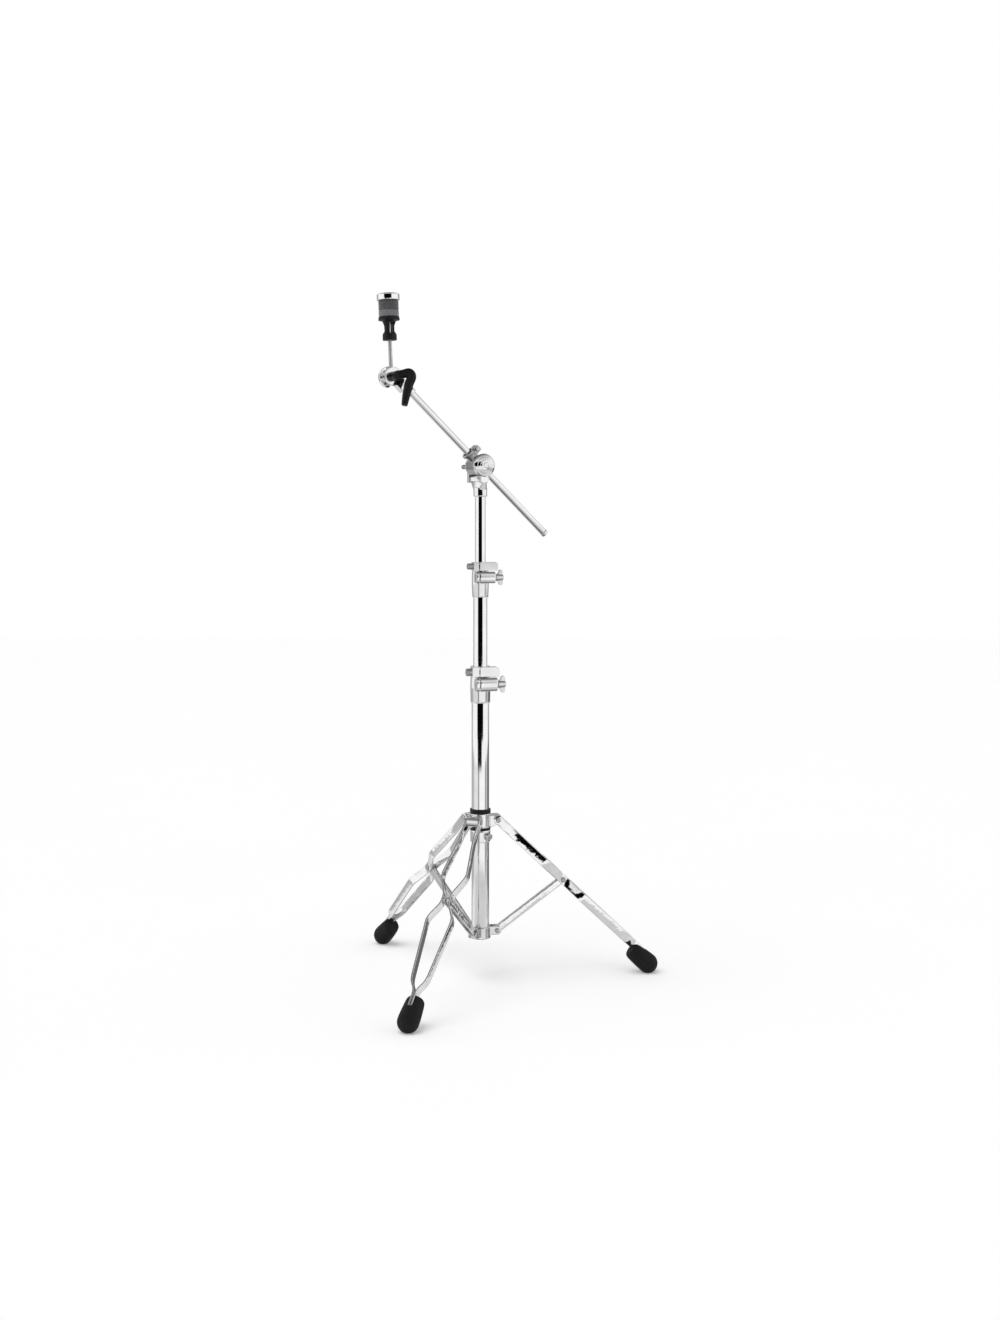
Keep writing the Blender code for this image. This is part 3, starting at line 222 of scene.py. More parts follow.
class Nodes:
    """A thin wrapper that keeps node building short."""

    def __init__(self, tree):
        self.tree = tree
        self.x = 0

    def link(self, output, socket):
        self.tree.links.new(output, socket)

    def add(self, kind, inputs=(), **settings):
        node = self.tree.nodes.new(kind)
        self.x += 180
        node.location = (self.x, 0)
        for name, value in settings.items():
            setattr(node, name, value)
        for name, value in dict(inputs).items():
            if isinstance(value, bpy.types.NodeSocket):
                self.link(value, node.inputs[name])
            else:
                node.inputs[name].default_value = value
        return node

    def noise(self, place, scale, detail=3.0, roughness=0.55):
        return self.add("ShaderNodeTexNoise", {"Vector": place, "Scale": scale,
                                               "Detail": detail, "Roughness": roughness})

    def spread(self, value, low, high, from_low=0.3, from_high=0.7):
        """The value's middle range, stretched from low to high."""
        node = self.add("ShaderNodeMapRange", {"Value": value, "From Min": from_low,
                                               "From Max": from_high, "To Min": low,
                                               "To Max": high})
        return node.outputs["Result"]

    def mix(self, factor, first, second):
        node = self.add("ShaderNodeMix", data_type="RGBA")
        self.link(factor, node.inputs["Factor"])
        for socket, colour in ((node.inputs["A"], first), (node.inputs["B"], second)):
            if isinstance(colour, bpy.types.NodeSocket):
                self.link(colour, socket)
            else:
                socket.default_value = (*colour, 1.0)
        return node.outputs["Result"]


def start_material(name):
    material = bpy.data.materials.new("look_" + name)
    material.use_nodes = True
    tree = material.node_tree
    shader = tree.nodes["Principled BSDF"]
    nodes = Nodes(tree)
    place = nodes.add("ShaderNodeTexCoord").outputs["Object"]
    return material, nodes, shader, place


def bump(nodes, shader, height, strength, distance):
    made = nodes.add("ShaderNodeBump", {"Height": height, "Strength": strength, "Distance": distance})
    nodes.link(made.outputs["Normal"], shader.inputs["Normal"])


def metal(name, bright, dull, smooth, rough, grain, grain_depth, scratches):
    """Plated metal: cloudy tone, fingerprints in the gloss, faint grain and fine scratches."""
    material, nodes, shader, place = start_material(name)
    cloud = nodes.noise(place, 38.0, 4.0).outputs["Fac"]
    smudge = nodes.noise(place, 150.0, 5.0, 0.65).outputs["Fac"]
    colour = nodes.mix(nodes.spread(cloud, 0.0, 1.0), bright, dull)
    nodes.link(colour, shader.inputs["Base Color"])
    nodes.link(nodes.spread(smudge, smooth, rough), shader.inputs["Roughness"])
    shader.inputs["Metallic"].default_value = 1.0
    stretch = nodes.add("ShaderNodeMapping", {"Vector": place, "Scale": (1.0, 1.0, scratches)})
    fine = nodes.noise(stretch.outputs["Vector"], grain, 3.0, 0.6).outputs["Fac"]
    bump(nodes, shader, fine, 0.25, grain_depth)
    return material


def moulded(name, dark, light, smooth, rough, grain, grain_depth, specular):
    """Moulded rubber or plastic: mottled tone, fine grain, and edges rubbed lighter."""
    material, nodes, shader, place = start_material(name)
    cloud = nodes.noise(place, 60.0, 5.0, 0.6).outputs["Fac"]
    base = nodes.mix(nodes.spread(cloud, 0.0, 1.0), dark, light)
    edge = nodes.add("ShaderNodeNewGeometry").outputs["Pointiness"]
    worn = nodes.spread(edge, 0.0, 0.6, 0.53, 0.62)
    rubbed = tuple(min(1.0, 2.6 * c + 0.012) for c in light)
    nodes.link(nodes.mix(worn, base, rubbed), shader.inputs["Base Color"])
    patch = nodes.noise(place, 220.0, 4.0).outputs["Fac"]
    nodes.link(nodes.spread(patch, smooth, rough), shader.inputs["Roughness"])
    shader.inputs["Specular IOR Level"].default_value = specular
    fine = nodes.noise(place, grain, 4.0, 0.7).outputs["Fac"]
    bump(nodes, shader, fine, 0.5, grain_depth)
    return material


def felt(name, dark, light, fleck):
    """Pressed wool: tangled fibres, light flecks and a soft sheen."""
    material, nodes, shader, place = start_material(name)
    clump = nodes.noise(place, 320.0, 6.0, 0.7).outputs["Fac"]
    base = nodes.mix(nodes.spread(clump, 0.0, 1.0, 0.35, 0.65), dark, light)
    fibre_place = nodes.add("ShaderNodeMapping", {"Vector": place, "Scale": (1.0, 1.0, 2.6)})
    fibre = nodes.noise(fibre_place.outputs["Vector"], 1400.0, 5.0, 0.75).outputs["Fac"]
    hair = nodes.spread(fibre, 0.0, 0.8, 0.56, 0.70)
    nodes.link(nodes.mix(hair, base, fleck), shader.inputs["Base Color"])
    nodes.link(nodes.spread(clump, 0.86, 1.0), shader.inputs["Roughness"])
    shader.inputs["Sheen Weight"].default_value = 0.35
    shader.inputs["Sheen Roughness"].default_value = 0.6
    shader.inputs["Specular IOR Level"].default_value = 0.15
    bump(nodes, shader, fibre, 0.8, 0.0006)
    return material


MATERIAL = {"chrome": metal("chrome", (0.94, 0.94, 0.945), (0.86, 0.86, 0.87), 0.035, 0.085,
                    900.0, 0.00002, 0.15),
    "cast": metal("cast_chrome", (0.80, 0.785, 0.785), (0.70, 0.685, 0.69), 0.12, 0.20,
                  700.0, 0.00005, 1.0),
    "polished": metal("polished_cast", (0.90, 0.89, 0.895), (0.80, 0.79, 0.795), 0.05, 0.10,
                      700.0, 0.00002, 1.0),
    # Painted shade: a darker copy of the cast metal, standing in for the shade and dark reflections round
    # the boom clamp's drum.
    "dark_cast": metal("dark_cast", (0.46, 0.455, 0.46), (0.32, 0.315, 0.32), 0.08, 0.16,
                       700.0, 0.00003, 1.0),
    "strap": metal("strap_chrome", (0.94, 0.94, 0.945), (0.86, 0.86, 0.87), 0.04, 0.10, 40.0, 0.0032, 1.0),
    "steel": metal("steel", (0.62, 0.62, 0.63), (0.48, 0.48, 0.49), 0.20, 0.38, 1100.0, 0.00008, 0.3),
    "nylon": moulded("nylon", (0.006, 0.006, 0.0065), (0.011, 0.011, 0.012), 0.30, 0.48,
                     1500.0, 0.00008, 0.22),
    "rubber": moulded("rubber", (0.0075, 0.0075, 0.008), (0.013, 0.013, 0.0135), 0.50, 0.68,
                      900.0, 0.00022, 0.20),
    "lever": moulded("lever", (0.0045, 0.0045, 0.0045), (0.008, 0.0078, 0.008), 0.26, 0.40,
                     1200.0, 0.00010, 0.20),
    "dark_felt": felt("dark_felt", (0.040, 0.044, 0.046), (0.085, 0.090, 0.094), (0.17, 0.18, 0.18)),
    "grey_felt": felt("grey_felt", (0.120, 0.116, 0.126), (0.200, 0.195, 0.208), (0.33, 0.32, 0.34)),
}


# ---- shapes
def lerp(a, b, t):
    return tuple(p + (q - p) * t for p, q in zip(a, b))


def soften(points, radius, steps=4, closed=False):
    """Round a polyline's corners, never by more than a third of a side."""
    count = len(points)
    made = []
    for i, point in enumerate(points):
        if not closed and i in (0, count - 1):
            made.append(point)
            continue
        before, after = points[i - 1], points[(i + 1) % count]
        back, ahead = math.dist(point, before), math.dist(point, after)
        if min(back, ahead) < 1e-6:
            made.append(point)
            continue
        start = lerp(point, before, min(radius, 0.34 * back) / back)
        end = lerp(point, after, min(radius, 0.34 * ahead) / ahead)
        for k in range(steps + 1):
            t = k / steps
            made.append(lerp(lerp(start, point, t), lerp(point, end, t), t))
    return made


def mesh_object(name, shape):
    mesh = bpy.data.meshes.new(name)
    shape.to_mesh(mesh)
    shape.free()
    return bpy.data.objects.new(name, mesh)


def solid(name, shape):
    """A closed mesh with every face turned outwards."""
    bmesh.ops.recalc_face_normals(shape, faces=shape.faces)
    return mesh_object(name, shape)


def turned(name, profile, steps=MEDIUM, closed=False, ease=0.0006):
    """A profile of (radius, height), with eased corners, turned about Z."""
    points = soften(profile, ease, 3, closed) if ease else list(profile)
    shape = bmesh.new()
    rings = []
    for radius, height in points:
        if radius < 1e-7:
            rings.append([shape.verts.new((0.0, 0.0, height))])
            continue
        turns = [2.0 * math.pi * k / steps for k in range(steps)]
        rings.append([shape.verts.new((radius * math.cos(a), radius * math.sin(a), height)) for a in turns])
    pairs = list(zip(rings, rings[1:]))
    if closed:
        pairs.append((rings[-1], rings[0]))
    for first, second in pairs:
        for k in range(steps):
            after = (k + 1) % steps
            corners = [first[k % len(first)], first[after % len(first)],
                       second[after % len(second)], second[k % len(second)]]
            face = list(dict.fromkeys(corners))
            if len(face) > 2:
                shape.faces.new(face)
    return solid(name, shape)


def ring(name, inner, outer, bottom, top, steps=FINE, ease=0.0006):
    return turned(name, [(outer, top), (outer, bottom), (inner, bottom), (inner, top)], steps, True, ease)


def cylinder(name, radius, bottom, top, steps=MEDIUM, ease=0.0):
    return turned(name, [(0.0, top), (radius, top), (radius, bottom), (0.0, bottom)], steps, False, ease)


def block(name, low, high):
    shape = bmesh.new()
    size = [b - a for a, b in zip(low, high)]
    middle = [0.5 * (a + b) for a, b in zip(low, high)]
    bmesh.ops.create_cube(shape, size=1.0, matrix=shift(*middle) @ Matrix.Diagonal((*size, 1.0)))
    return mesh_object(name, shape)


def signed_area(outline):
    return 0.5 * sum(a[0] * b[1] - b[0] * a[1] for a, b in zip(outline, outline[1:] + outline[:1]))


def inset_outline(outline, inset):
    """The outline moved inwards, corner by corner."""
    if not inset:
        return list(outline)
    turn = 1.0 if signed_area(outline) > 0.0 else -1.0
    made = []
    for i, point in enumerate(outline):
        before, after = outline[i - 1], outline[(i + 1) % len(outline)]
        arrive = Vector((point[0] - before[0], point[1] - before[1])).normalized()
        leave = Vector((after[0] - point[0], after[1] - point[1])).normalized()
        run = (arrive + leave).normalized()
        reach = inset / max(run.dot(leave), 0.5)
        made.append((point[0] - turn * reach * run.y, point[1] + turn * reach * run.x))
    return made


def skin(name, rows, shape):
    """Close a stack of equal outlines into one solid."""
    for first, second in zip(rows, rows[1:]):
        for i in range(len(first)):
            k = (i + 1) % len(first)
            shape.faces.new([first[i], first[k], second[k], second[i]])
    shape.faces.new(rows[0])
    shape.faces.new(rows[-1][::-1])
    return solid(name, shape)


def prism(name, outline, depth, edge=0.0):
    """An outline in XY, extruded evenly along Z, with its rims rounded."""
    half = 0.5 * depth
    levels = [(0.0, half)]
    if edge:
        turns = [radians(a) for a in (90.0, 60.0, 30.0, 0.0)]
        levels = [(edge * (1.0 - math.cos(a)), half - edge * (1.0 - math.sin(a))) for a in turns]
    levels += [(inset, -z) for inset, z in reversed(levels)]
    shape = bmesh.new()
    rows = [[shape.verts.new((x, y, z)) for x, y in inset_outline(outline, inset)] for inset, z in levels]
    return skin(name, rows, shape)


def swept(name, points, radii):
    """A round or oval bar of changing radius along a smooth path, with round ends."""
    curve = bpy.data.curves.new(name + "_path", "CURVE")
    curve.dimensions = "3D"
    curve.bevel_depth = 1.0
    curve.bevel_resolution = 8
    curve.use_fill_caps = True
    curve.resolution_u = 10
    spline = curve.splines.new("BEZIER")
    spline.bezier_points.add(len(points) - 1)
    for point, place_at, radius in zip(spline.bezier_points, points, radii):
        point.co = place_at
        point.handle_left_type = "AUTO"
        point.handle_right_type = "AUTO"
        point.radius = radius
    path = bpy.data.objects.new(name + "_path", curve)
    bpy.context.scene.collection.objects.link(path)
    bpy.context.view_layer.update()
    graph = bpy.context.evaluated_depsgraph_get()
    mesh = bpy.data.meshes.new_from_object(path.evaluated_get(graph))
    bpy.data.objects.remove(path, do_unlink=True)
    bpy.data.curves.remove(curve)
    shape = bmesh.new()
    shape.from_mesh(mesh)
    bmesh.ops.remove_doubles(shape, verts=shape.verts, dist=0.00001)
    bmesh.ops.recalc_face_normals(shape, faces=shape.faces)
    bpy.data.meshes.remove(mesh)
    return mesh_object(name, shape)


def arc(centre, radius, start, end, count=12):
    """Points on an arc, angles in degrees, both ends included."""
    turns = [radians(start + (end - start) * i / count) for i in range(count + 1)]
    return [(centre[0] + radius * math.cos(a), centre[1] + radius * math.sin(a)) for a in turns]


def circle(centre, radius, count=SMALL):
    return arc(centre, radius, 0.0, 360.0, count)[:-1]


def hull_of(name, points):
    """The smallest convex solid around some points."""
    shape = bmesh.new()
    for point in points:
        shape.verts.new(point)
    bmesh.ops.convex_hull(shape, input=shape.verts)
    return solid(name, shape)


def combine(target, tool, local, operation):
    """Boolean a tool, placed in the target's own frame, into the target."""
    tool.parent = target
    tool.matrix_basis = local
    tool.hide_render = True
    boolean = target.modifiers.new(tool.name, "BOOLEAN")
    boolean.operation = operation
    boolean.solver = "EXACT"
    boolean.object = tool
    return target


def cut(target, tool, local=Matrix.Identity(4)):
    return combine(target, tool, local, "DIFFERENCE")


def join(target, tool, local=Matrix.Identity(4)):
    return combine(target, tool, local, "UNION")


def place(obj, body, world, look, *nodes, voxel=0.0, smooth=6, crease=32.0):
    """Bake a piece, put it on its body and let it stand for CAD nodes.

    A voxel size melts a casting's joined shapes together, and smoothing rounds their edges.
    """
    tools = list(obj.children)
    for item in [obj] + tools:
        bpy.context.scene.collection.objects.link(item)
    if voxel:
        remesh = obj.modifiers.new("melt", "REMESH")
        remesh.mode = "VOXEL"
        remesh.voxel_size = voxel
        relax = obj.modifiers.new("relax", "SMOOTH")
        relax.factor = 0.5
        relax.iterations = smooth
    bpy.context.view_layer.update()
    if obj.modifiers:
        graph = bpy.context.evaluated_depsgraph_get()
        mesh = bpy.data.meshes.new_from_object(obj.evaluated_get(graph))
        obj.modifiers.clear()
        obj.data = mesh
    for tool in tools:
        bpy.data.objects.remove(tool, do_unlink=True)
    mesh = obj.data
    mesh.polygons.foreach_set("use_smooth", [True] * len(mesh.polygons))
    mesh.set_sharp_from_angle(angle=radians(crease))
    mesh.materials.clear()
    mesh.materials.append(MATERIAL[look])
    mesh.transform(world)
    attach(obj, body)
    if nodes:
        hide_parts(*nodes)
    return obj


def headed_pin(name, radius, half, head_radius, head):
    """A pin with a domed rivet head on each end, along Z."""
    crown = [(0.0, half + head), (0.55 * head_radius, half + 0.9 * head),
             (0.9 * head_radius, half + 0.5 * head), (head_radius, half)]
    upper = crown + [(radius, half)]
    return turned(name, upper + [(r, -z) for r, z in reversed(upper)], SMALL, ease=0.0003)


def slotted(obj, width, depth, top, turn=0.0):
    """A screwdriver slot across a head whose face is at z = top."""
    slot = block(obj.name + "_slot", (-0.05, -0.5 * width, top - depth), (0.05, 0.5 * width, top + 0.01))
    return cut(obj, slot, Matrix.Rotation(turn, 4, "Z"))


# ---- base and hub
def build_base():
    tube = ring("tube_base", BASE_R - BASE_WALL, BASE_R, BASE_BOTTOM_Z, BASE_TOP_Z)
    place(tube, "base", STAND, "chrome", "base_tube")
    bore = BASE_R + GAP
    hub = turned("hub_casting", [(0.0, 0.0787), (bore, 0.0787), (bore, 0.0970), (0.0185, 0.0970),
                                 (0.0185, 0.0765), (0.0, 0.0765)])
    nose = arc((HUB_PIVOT_R, HUB_PIVOT_Z), 0.0080, -90.0, 90.0)
    outline = nose + [(0.0168, 0.0980), (0.0168, 0.0820)]
    for number, azimuth in enumerate(LEG_AZIMUTHS, 1):
        for side in (-1.0, 1.0):
            ear = prism(f"hub_ear_{number}_{int(side)}", outline, 0.0032)
            join(hub, ear, upright(azimuth) @ shift(z=side * 0.0069))
        hole = cylinder(f"hub_hole_{number}", HOLE_R, -0.02, 0.02, SMALL)
        cut(hub, hole, upright(azimuth) @ shift(HUB_PIVOT_R, HUB_PIVOT_Z, 0.0))
    place(hub, "base", STAND, "cast", "lower_hub", voxel=0.00045, smooth=3)
    for number, azimuth in enumerate(LEG_AZIMUTHS, 1):
        pin = headed_pin(f"rivet_hub_{number}", PIN_R, 0.0088, 0.0048, 0.0016)
        place(pin, "base", brace_frame(azimuth) @ Z_TO_Y, "steel", f"hub_pin_{number}")


# ---- tripod collar
def build_collar():
    inner = BASE_R + GAP
    collar = turned("collar_casting", [
        (0.0182, 0.3030), (0.0182, 0.2790), (0.0176, 0.2775), (0.0176, 0.2725), (0.0182, 0.2710),
        (0.0182, 0.2515), (inner, 0.2515), (inner, 0.3030)], FINE, closed=True)
    nose = arc((LEG_PIVOT_R, LEG_PIVOT_Z), 0.0085, -90.0, 90.0)
    outline = nose + [(0.0170, 0.3000), (0.0170, 0.2770)]
    for number, azimuth in enumerate(LEG_AZIMUTHS, 1):
        join(collar, prism(f"collar_lug_{number}", outline, 0.0224), upright(azimuth))
        hole = cylinder(f"collar_hole_{number}", HOLE_R, -0.02, 0.02, SMALL)
        cut(collar, hole, upright(azimuth) @ shift(LEG_PIVOT_R, LEG_PIVOT_Z, 0.0))
    away = outward(SCREW_AZIMUTH)
    across = sideways(SCREW_AZIMUTH)
    screw_frame = frame(STAND @ (0.2633 * UP), across, away.cross(across), away)
    join(collar, cylinder("collar_boss", 0.0062, 0.0168, 0.0198), STAND.inverted() @ screw_frame)
    cut(collar, cylinder("collar_bore", inner, 0.24, 0.32, FINE))
    cut(collar, cylinder("collar_screw_hole", 0.0032, 0.0100, 0.0250, SMALL),
        STAND.inverted() @ screw_frame)
    place(collar, "leg_collar", STAND, "polished", "leg_collar", voxel=0.00050, smooth=3)
    bush = ring("collar_top_bush", inner, 0.0188, 0.3033, 0.3110)
    place(bush, "leg_collar", STAND, "nylon", "collar_bush")
    seam = ring("collar_seam", 0.0178, 0.0183, 0.2727, 0.2773, ease=0.0002)
    place(seam, "leg_collar", STAND, "nylon")
    screw = turned("collar_screw", [(0.0, 0.0282), (0.0056, 0.0282), (0.0056, 0.0202),
                                    (0.0029, 0.0202), (0.0029, 0.0164), (0.0, 0.0164)], SMALL)
    slotted(screw, 0.0012, 0.0012, 0.0282, 0.6)
    place(screw, "collar_lock_screw", screw_frame, "steel", "collar_lock_screw")
    for number, azimuth in enumerate(LEG_AZIMUTHS, 1):
        pin = headed_pin(f"rivet_collar_{number}", PIN_R, 0.0148, 0.0050, 0.0018)
        place(pin, "leg_collar", leg_frame(azimuth) @ Z_TO_Y, "steel", f"collar_pin_{number}")


# ---- legs
def strap(name, plan, width, thick, round_ends):
    """A flat bar bent in plan (x along, y across), width along Z, with rounded edges."""
    path = soften(plan, 0.0100, 7)
    edge = 0.38 * thick
    half = 0.5 * width
    section = soften([(-0.5 * thick, -half), (0.5 * thick, -half), (0.5 * thick, half),
                      (-0.5 * thick, half)], edge, 3, closed=True)
    rows = []
    shape = bmesh.new()
    steps = []
    for i, point in enumerate(path):
        before, after = path[max(i - 1, 0)], path[min(i + 1, len(path) - 1)]
        run = Vector((after[0] - before[0], after[1] - before[1])).normalized()
        steps.append((Vector(point), run, 1.0))
    for end, sign in ((0, -1.0), (-1, 1.0)):
        if not round_ends[end]:
            continue
        tip, run, _ = steps[end]
        extra = []
        for k in range(1, 9):
            turn = radians(90.0 * k / 8)
            extra.append((tip + sign * run * (half * (math.sin(turn) - 1.0)), run,
                          max(math.cos(turn), 0.02)))
        start = (tip - sign * run * half, run, 1.0)
        if end == 0:
            steps[0] = start
            steps = extra[::-1] + steps
        else:
            steps[-1] = start
            steps = steps + extra
    for point, run, size in steps:
        normal = Vector((-run.y, run.x))
        rows.append([shape.verts.new((point.x + normal.x * t, point.y + normal.y * t, z * size))
                     for t, z in section])
    return skin(name, rows, shape)


def build_leg(number, azimuth):
    body, world = f"leg_{number}", leg_frame(azimuth)
    for side, label in ((-1.0, "near"), (1.0, "far")):
        outwards = Z_TO_Y if side > 0.0 else Z_TO_Y.inverted()
        plan = [(along, side * across) for along, across in LEG_PLAN]
        bar = strap(f"strap_leg_{number}_{label}", plan, STRAP_WIDTH, STRAP_THICK, (True, False))
        for hole_name, along in (("pivot", 0.0), ("rivet", LEG_JOINT_S)):
            hole = cylinder(f"{bar.name}_{hole_name}", HOLE_R, 0.0, 0.03, SMALL)
            cut(bar, hole, shift(x=along) @ outwards)
        place(bar, body, world, "strap", f"leg_{number}_{label}_strap")
        rivet = turned(f"rivet_leg_{number}_{label}", [
            (0.0, 0.0106), (0.0030, 0.0104), (0.0045, 0.0096), (0.0050, 0.0088), (PIN_R, 0.0088),
            (PIN_R, 0.0055), (0.0, 0.0055)], SMALL, ease=0.0003)
        place(rivet, body, world @ shift(x=LEG_JOINT_S) @ outwards, "steel", f"leg_{number}_{label}_rivet")
    build_foot(number, azimuth)


def build_foot(number, azimuth):
    """A rubber boot: straight sided, a little narrower where the straps enter."""
    axis = math.cos(FOOT_TILT) * outward(azimuth) - math.sin(FOOT_TILT) * UP
    centre = STAND @ (FOOT_CENTRE_R * outward(azimuth) + FOOT_CENTRE_Z * UP)
    world = frame(centre, axis.cross(sideways(azimuth)) * -1.0, sideways(azimuth), axis)
    low_end = arc((0.0, FOOT_HALF), FOOT_R, 90.0, 4.0, 14)
    sides = [(0.0185, 0.0080), (0.0181, 0.0000), (0.0174, -0.0090), (0.0166, -0.0180), (0.0161, -0.0225)]
    lip = [(0.0152, -0.0265), (0.0134, -0.0292), (0.0110, -0.0303), (0.0, -0.0303)]
    profile = [(max(r, 0.0), z) for r, z in low_end] + sides + lip
    profile[0] = (0.0, FOOT_HALF + FOOT_R)
    foot = turned(f"boot_{number}", profile, FINE, ease=0.0012)
    # Eight shallow flats run up the boot and fade out at its round end.
    for v in foot.data.vertices:
        turn = math.atan2(v.co.y, v.co.x)
        reach = min(1.0, max(0.0, (0.016 - v.co.z) / 0.012))
        squash = 1.0 - 0.022 * reach * (1.0 - abs(math.sin(4.0 * turn))) ** 2
        v.co.x *= squash
        v.co.y *= squash
    half_t = LEG_PLAN[-1][1] + 0.5 * STRAP_THICK + 0.0004
    half_n = 0.5 * STRAP_WIDTH + 0.0004
    pocket = block(f"boot_pocket_{number}", (0.3300, -half_t, -half_n),
                   (LEG_LENGTH + 0.0004, half_t, half_n))
    cut(foot, pocket, world.inverted() @ leg_frame(azimuth))
    ground = block(f"boot_ground_{number}", (-0.1, -0.1, -0.05), (0.1, 0.1, 0.0))
    level = shift(centre.x, centre.y, 0.0) @ Matrix.Rotation(azimuth, 4, "Z")
    cut(foot, ground, world.inverted() @ level)
    place(foot, f"leg_{number}", world, "rubber", f"leg_{number}_foot", crease=40.0)


def build_brace(number, azimuth):
    length = math.hypot(*brace_span())
    lie_flat = Y_TO_Z
    half = 0.5 * BRACE_WIDTH
    outline = arc((length, 0.0), half, -90.0, 90.0) + arc((0.0, 0.0), half, 90.0, 270.0)
    for side, label in ((-1.0, "near"), (1.0, "far")):
        bar = prism(f"strap_brace_{number}_{label}", outline, BRACE_THICK, 0.0009)
        for hole_name, along in (("low", 0.0), ("high", length)):
            cut(bar, cylinder(f"{bar.name}_{hole_name}", HOLE_R, -0.02, 0.02, SMALL), shift(x=along))
        world = brace_frame(azimuth) @ shift(y=side * BRACE_T) @ lie_flat
        place(bar, f"brace_{number}", world, "strap", f"brace_{number}_{label}_strap")


# ---- height clamps
def wing_shape(name, low, high, hub_r, reach, thick, bore=0.0, flare=1.0):
    """A cast wing nut along Z: tapered hub and two leaf-shaped wings along X."""
    middle = 0.5 * (low + high)
    tall = high - low
    body = turned(name, [(0.0, high), (0.80 * hub_r, high), (hub_r, low + 0.25 * tall),
                         (hub_r, low), (0.0, low)], MEDIUM)
    tip_r = 0.30 * tall
    tip = high - 1.05 * tip_r * flare
    leaf = [(tip + tip_r * 0.9 * math.cos(a), reach - tip_r + tip_r * math.sin(a))
            for a in (radians(d) for d in range(-10, 191, 20))]
    leaf += [(middle - 1.25 * tip_r, 0.95 * hub_r), (low + 0.12 * tall, 0.35 * hub_r)]
    leaf = [(high - 0.04 * tall, 0.35 * hub_r), (tip + 0.95 * tip_r, 1.0 * hub_r)] + leaf
    for number, sign in enumerate((1.0, -1.0)):
        outline = soften([(z, sign * x) for z, x in leaf], 0.0020, 3, closed=True)
        wing = prism(f"{name}_wing_{number}", outline, thick)
        join(body, wing, frame(ORIGIN, UP, Vector((1.0, 0.0, 0.0)), Vector((0.0, 1.0, 0.0))))
    if bore:
        cut(body, cylinder(name + "_bore", bore, low - 0.01, high + 0.01))
    return body


def build_clamp(label, body, tube_r, inner_r, tube_top, sleeve, lug, height, reach, wing):
    """A split sleeve with a bolt barrel on its front, and its wing bolt."""
    low, high, half_depth, half_height, slot_low = lug
    bore = tube_r + GAP
    local = STAND.inverted() @ clamp_frame(height, reach)
    clamp = turned(f"{label}_clamp_casting",
                   sleeve + [(bore, sleeve[-1][1]), (bore, sleeve[0][1])], FINE, True)
    outline = [(half_height * x, half_depth * y) for x, y in circle((0.0, 0.0), 1.0, MEDIUM)]
    outline = [(math.copysign(abs(x / half_height) ** 0.72, x) * half_height,
                math.copysign(abs(y / half_depth) ** 0.72, y) * half_depth) for x, y in outline]
    barrel = prism(f"{label}_barrel", outline, high - low, 0.0012)
    join(clamp, barrel, local @ shift(x=0.5 * (low + high)) @ Z_TO_X)
    cut(clamp, cylinder(f"{label}_bore", bore, sleeve[-1][1] - 0.01, sleeve[0][1] + 0.01, FINE))
    slot = block(f"{label}_slot", (-0.0105, -0.5 * reach, slot_low - height),
                 (-0.0088, 0.6 * reach, sleeve[0][1] + 0.01 - height))
    cut(clamp, slot, local @ shift(y=-0.6 * reach))
    shank = 0.0030
    cut(clamp, cylinder(f"{label}_bolt_hole", shank + GAP, -0.03, 0.04, SMALL),
        local @ shift(y=-0.001) @ Z_TO_X)
    place(clamp, body, STAND, "polished", f"{label}_clamp_body", voxel=0.00045, smooth=4)
    bush = ring(f"{label}_bush", inner_r + GAP, tube_r, tube_top + GAP, sleeve[0][1] - GAP)
    place(bush, body, STAND, "nylon", f"{label}_clamp_bush")
    wing_low, wing_high, hub_r, wing_reach = wing
    bolt = wing_shape(f"{label}_wing_bolt", wing_low, wing_high, hub_r, wing_reach, 0.0042)
    join(bolt, cylinder(f"{label}_shank", shank, -0.0145, wing_low + 0.003, SMALL))
    place(bolt, f"{label}_clamp_wing_bolt", clamp_frame(height, reach) @ shift(y=-0.001) @ Z_TO_X,
          "cast", f"{label}_clamp_wing_bolt", voxel=0.00040, smooth=6)


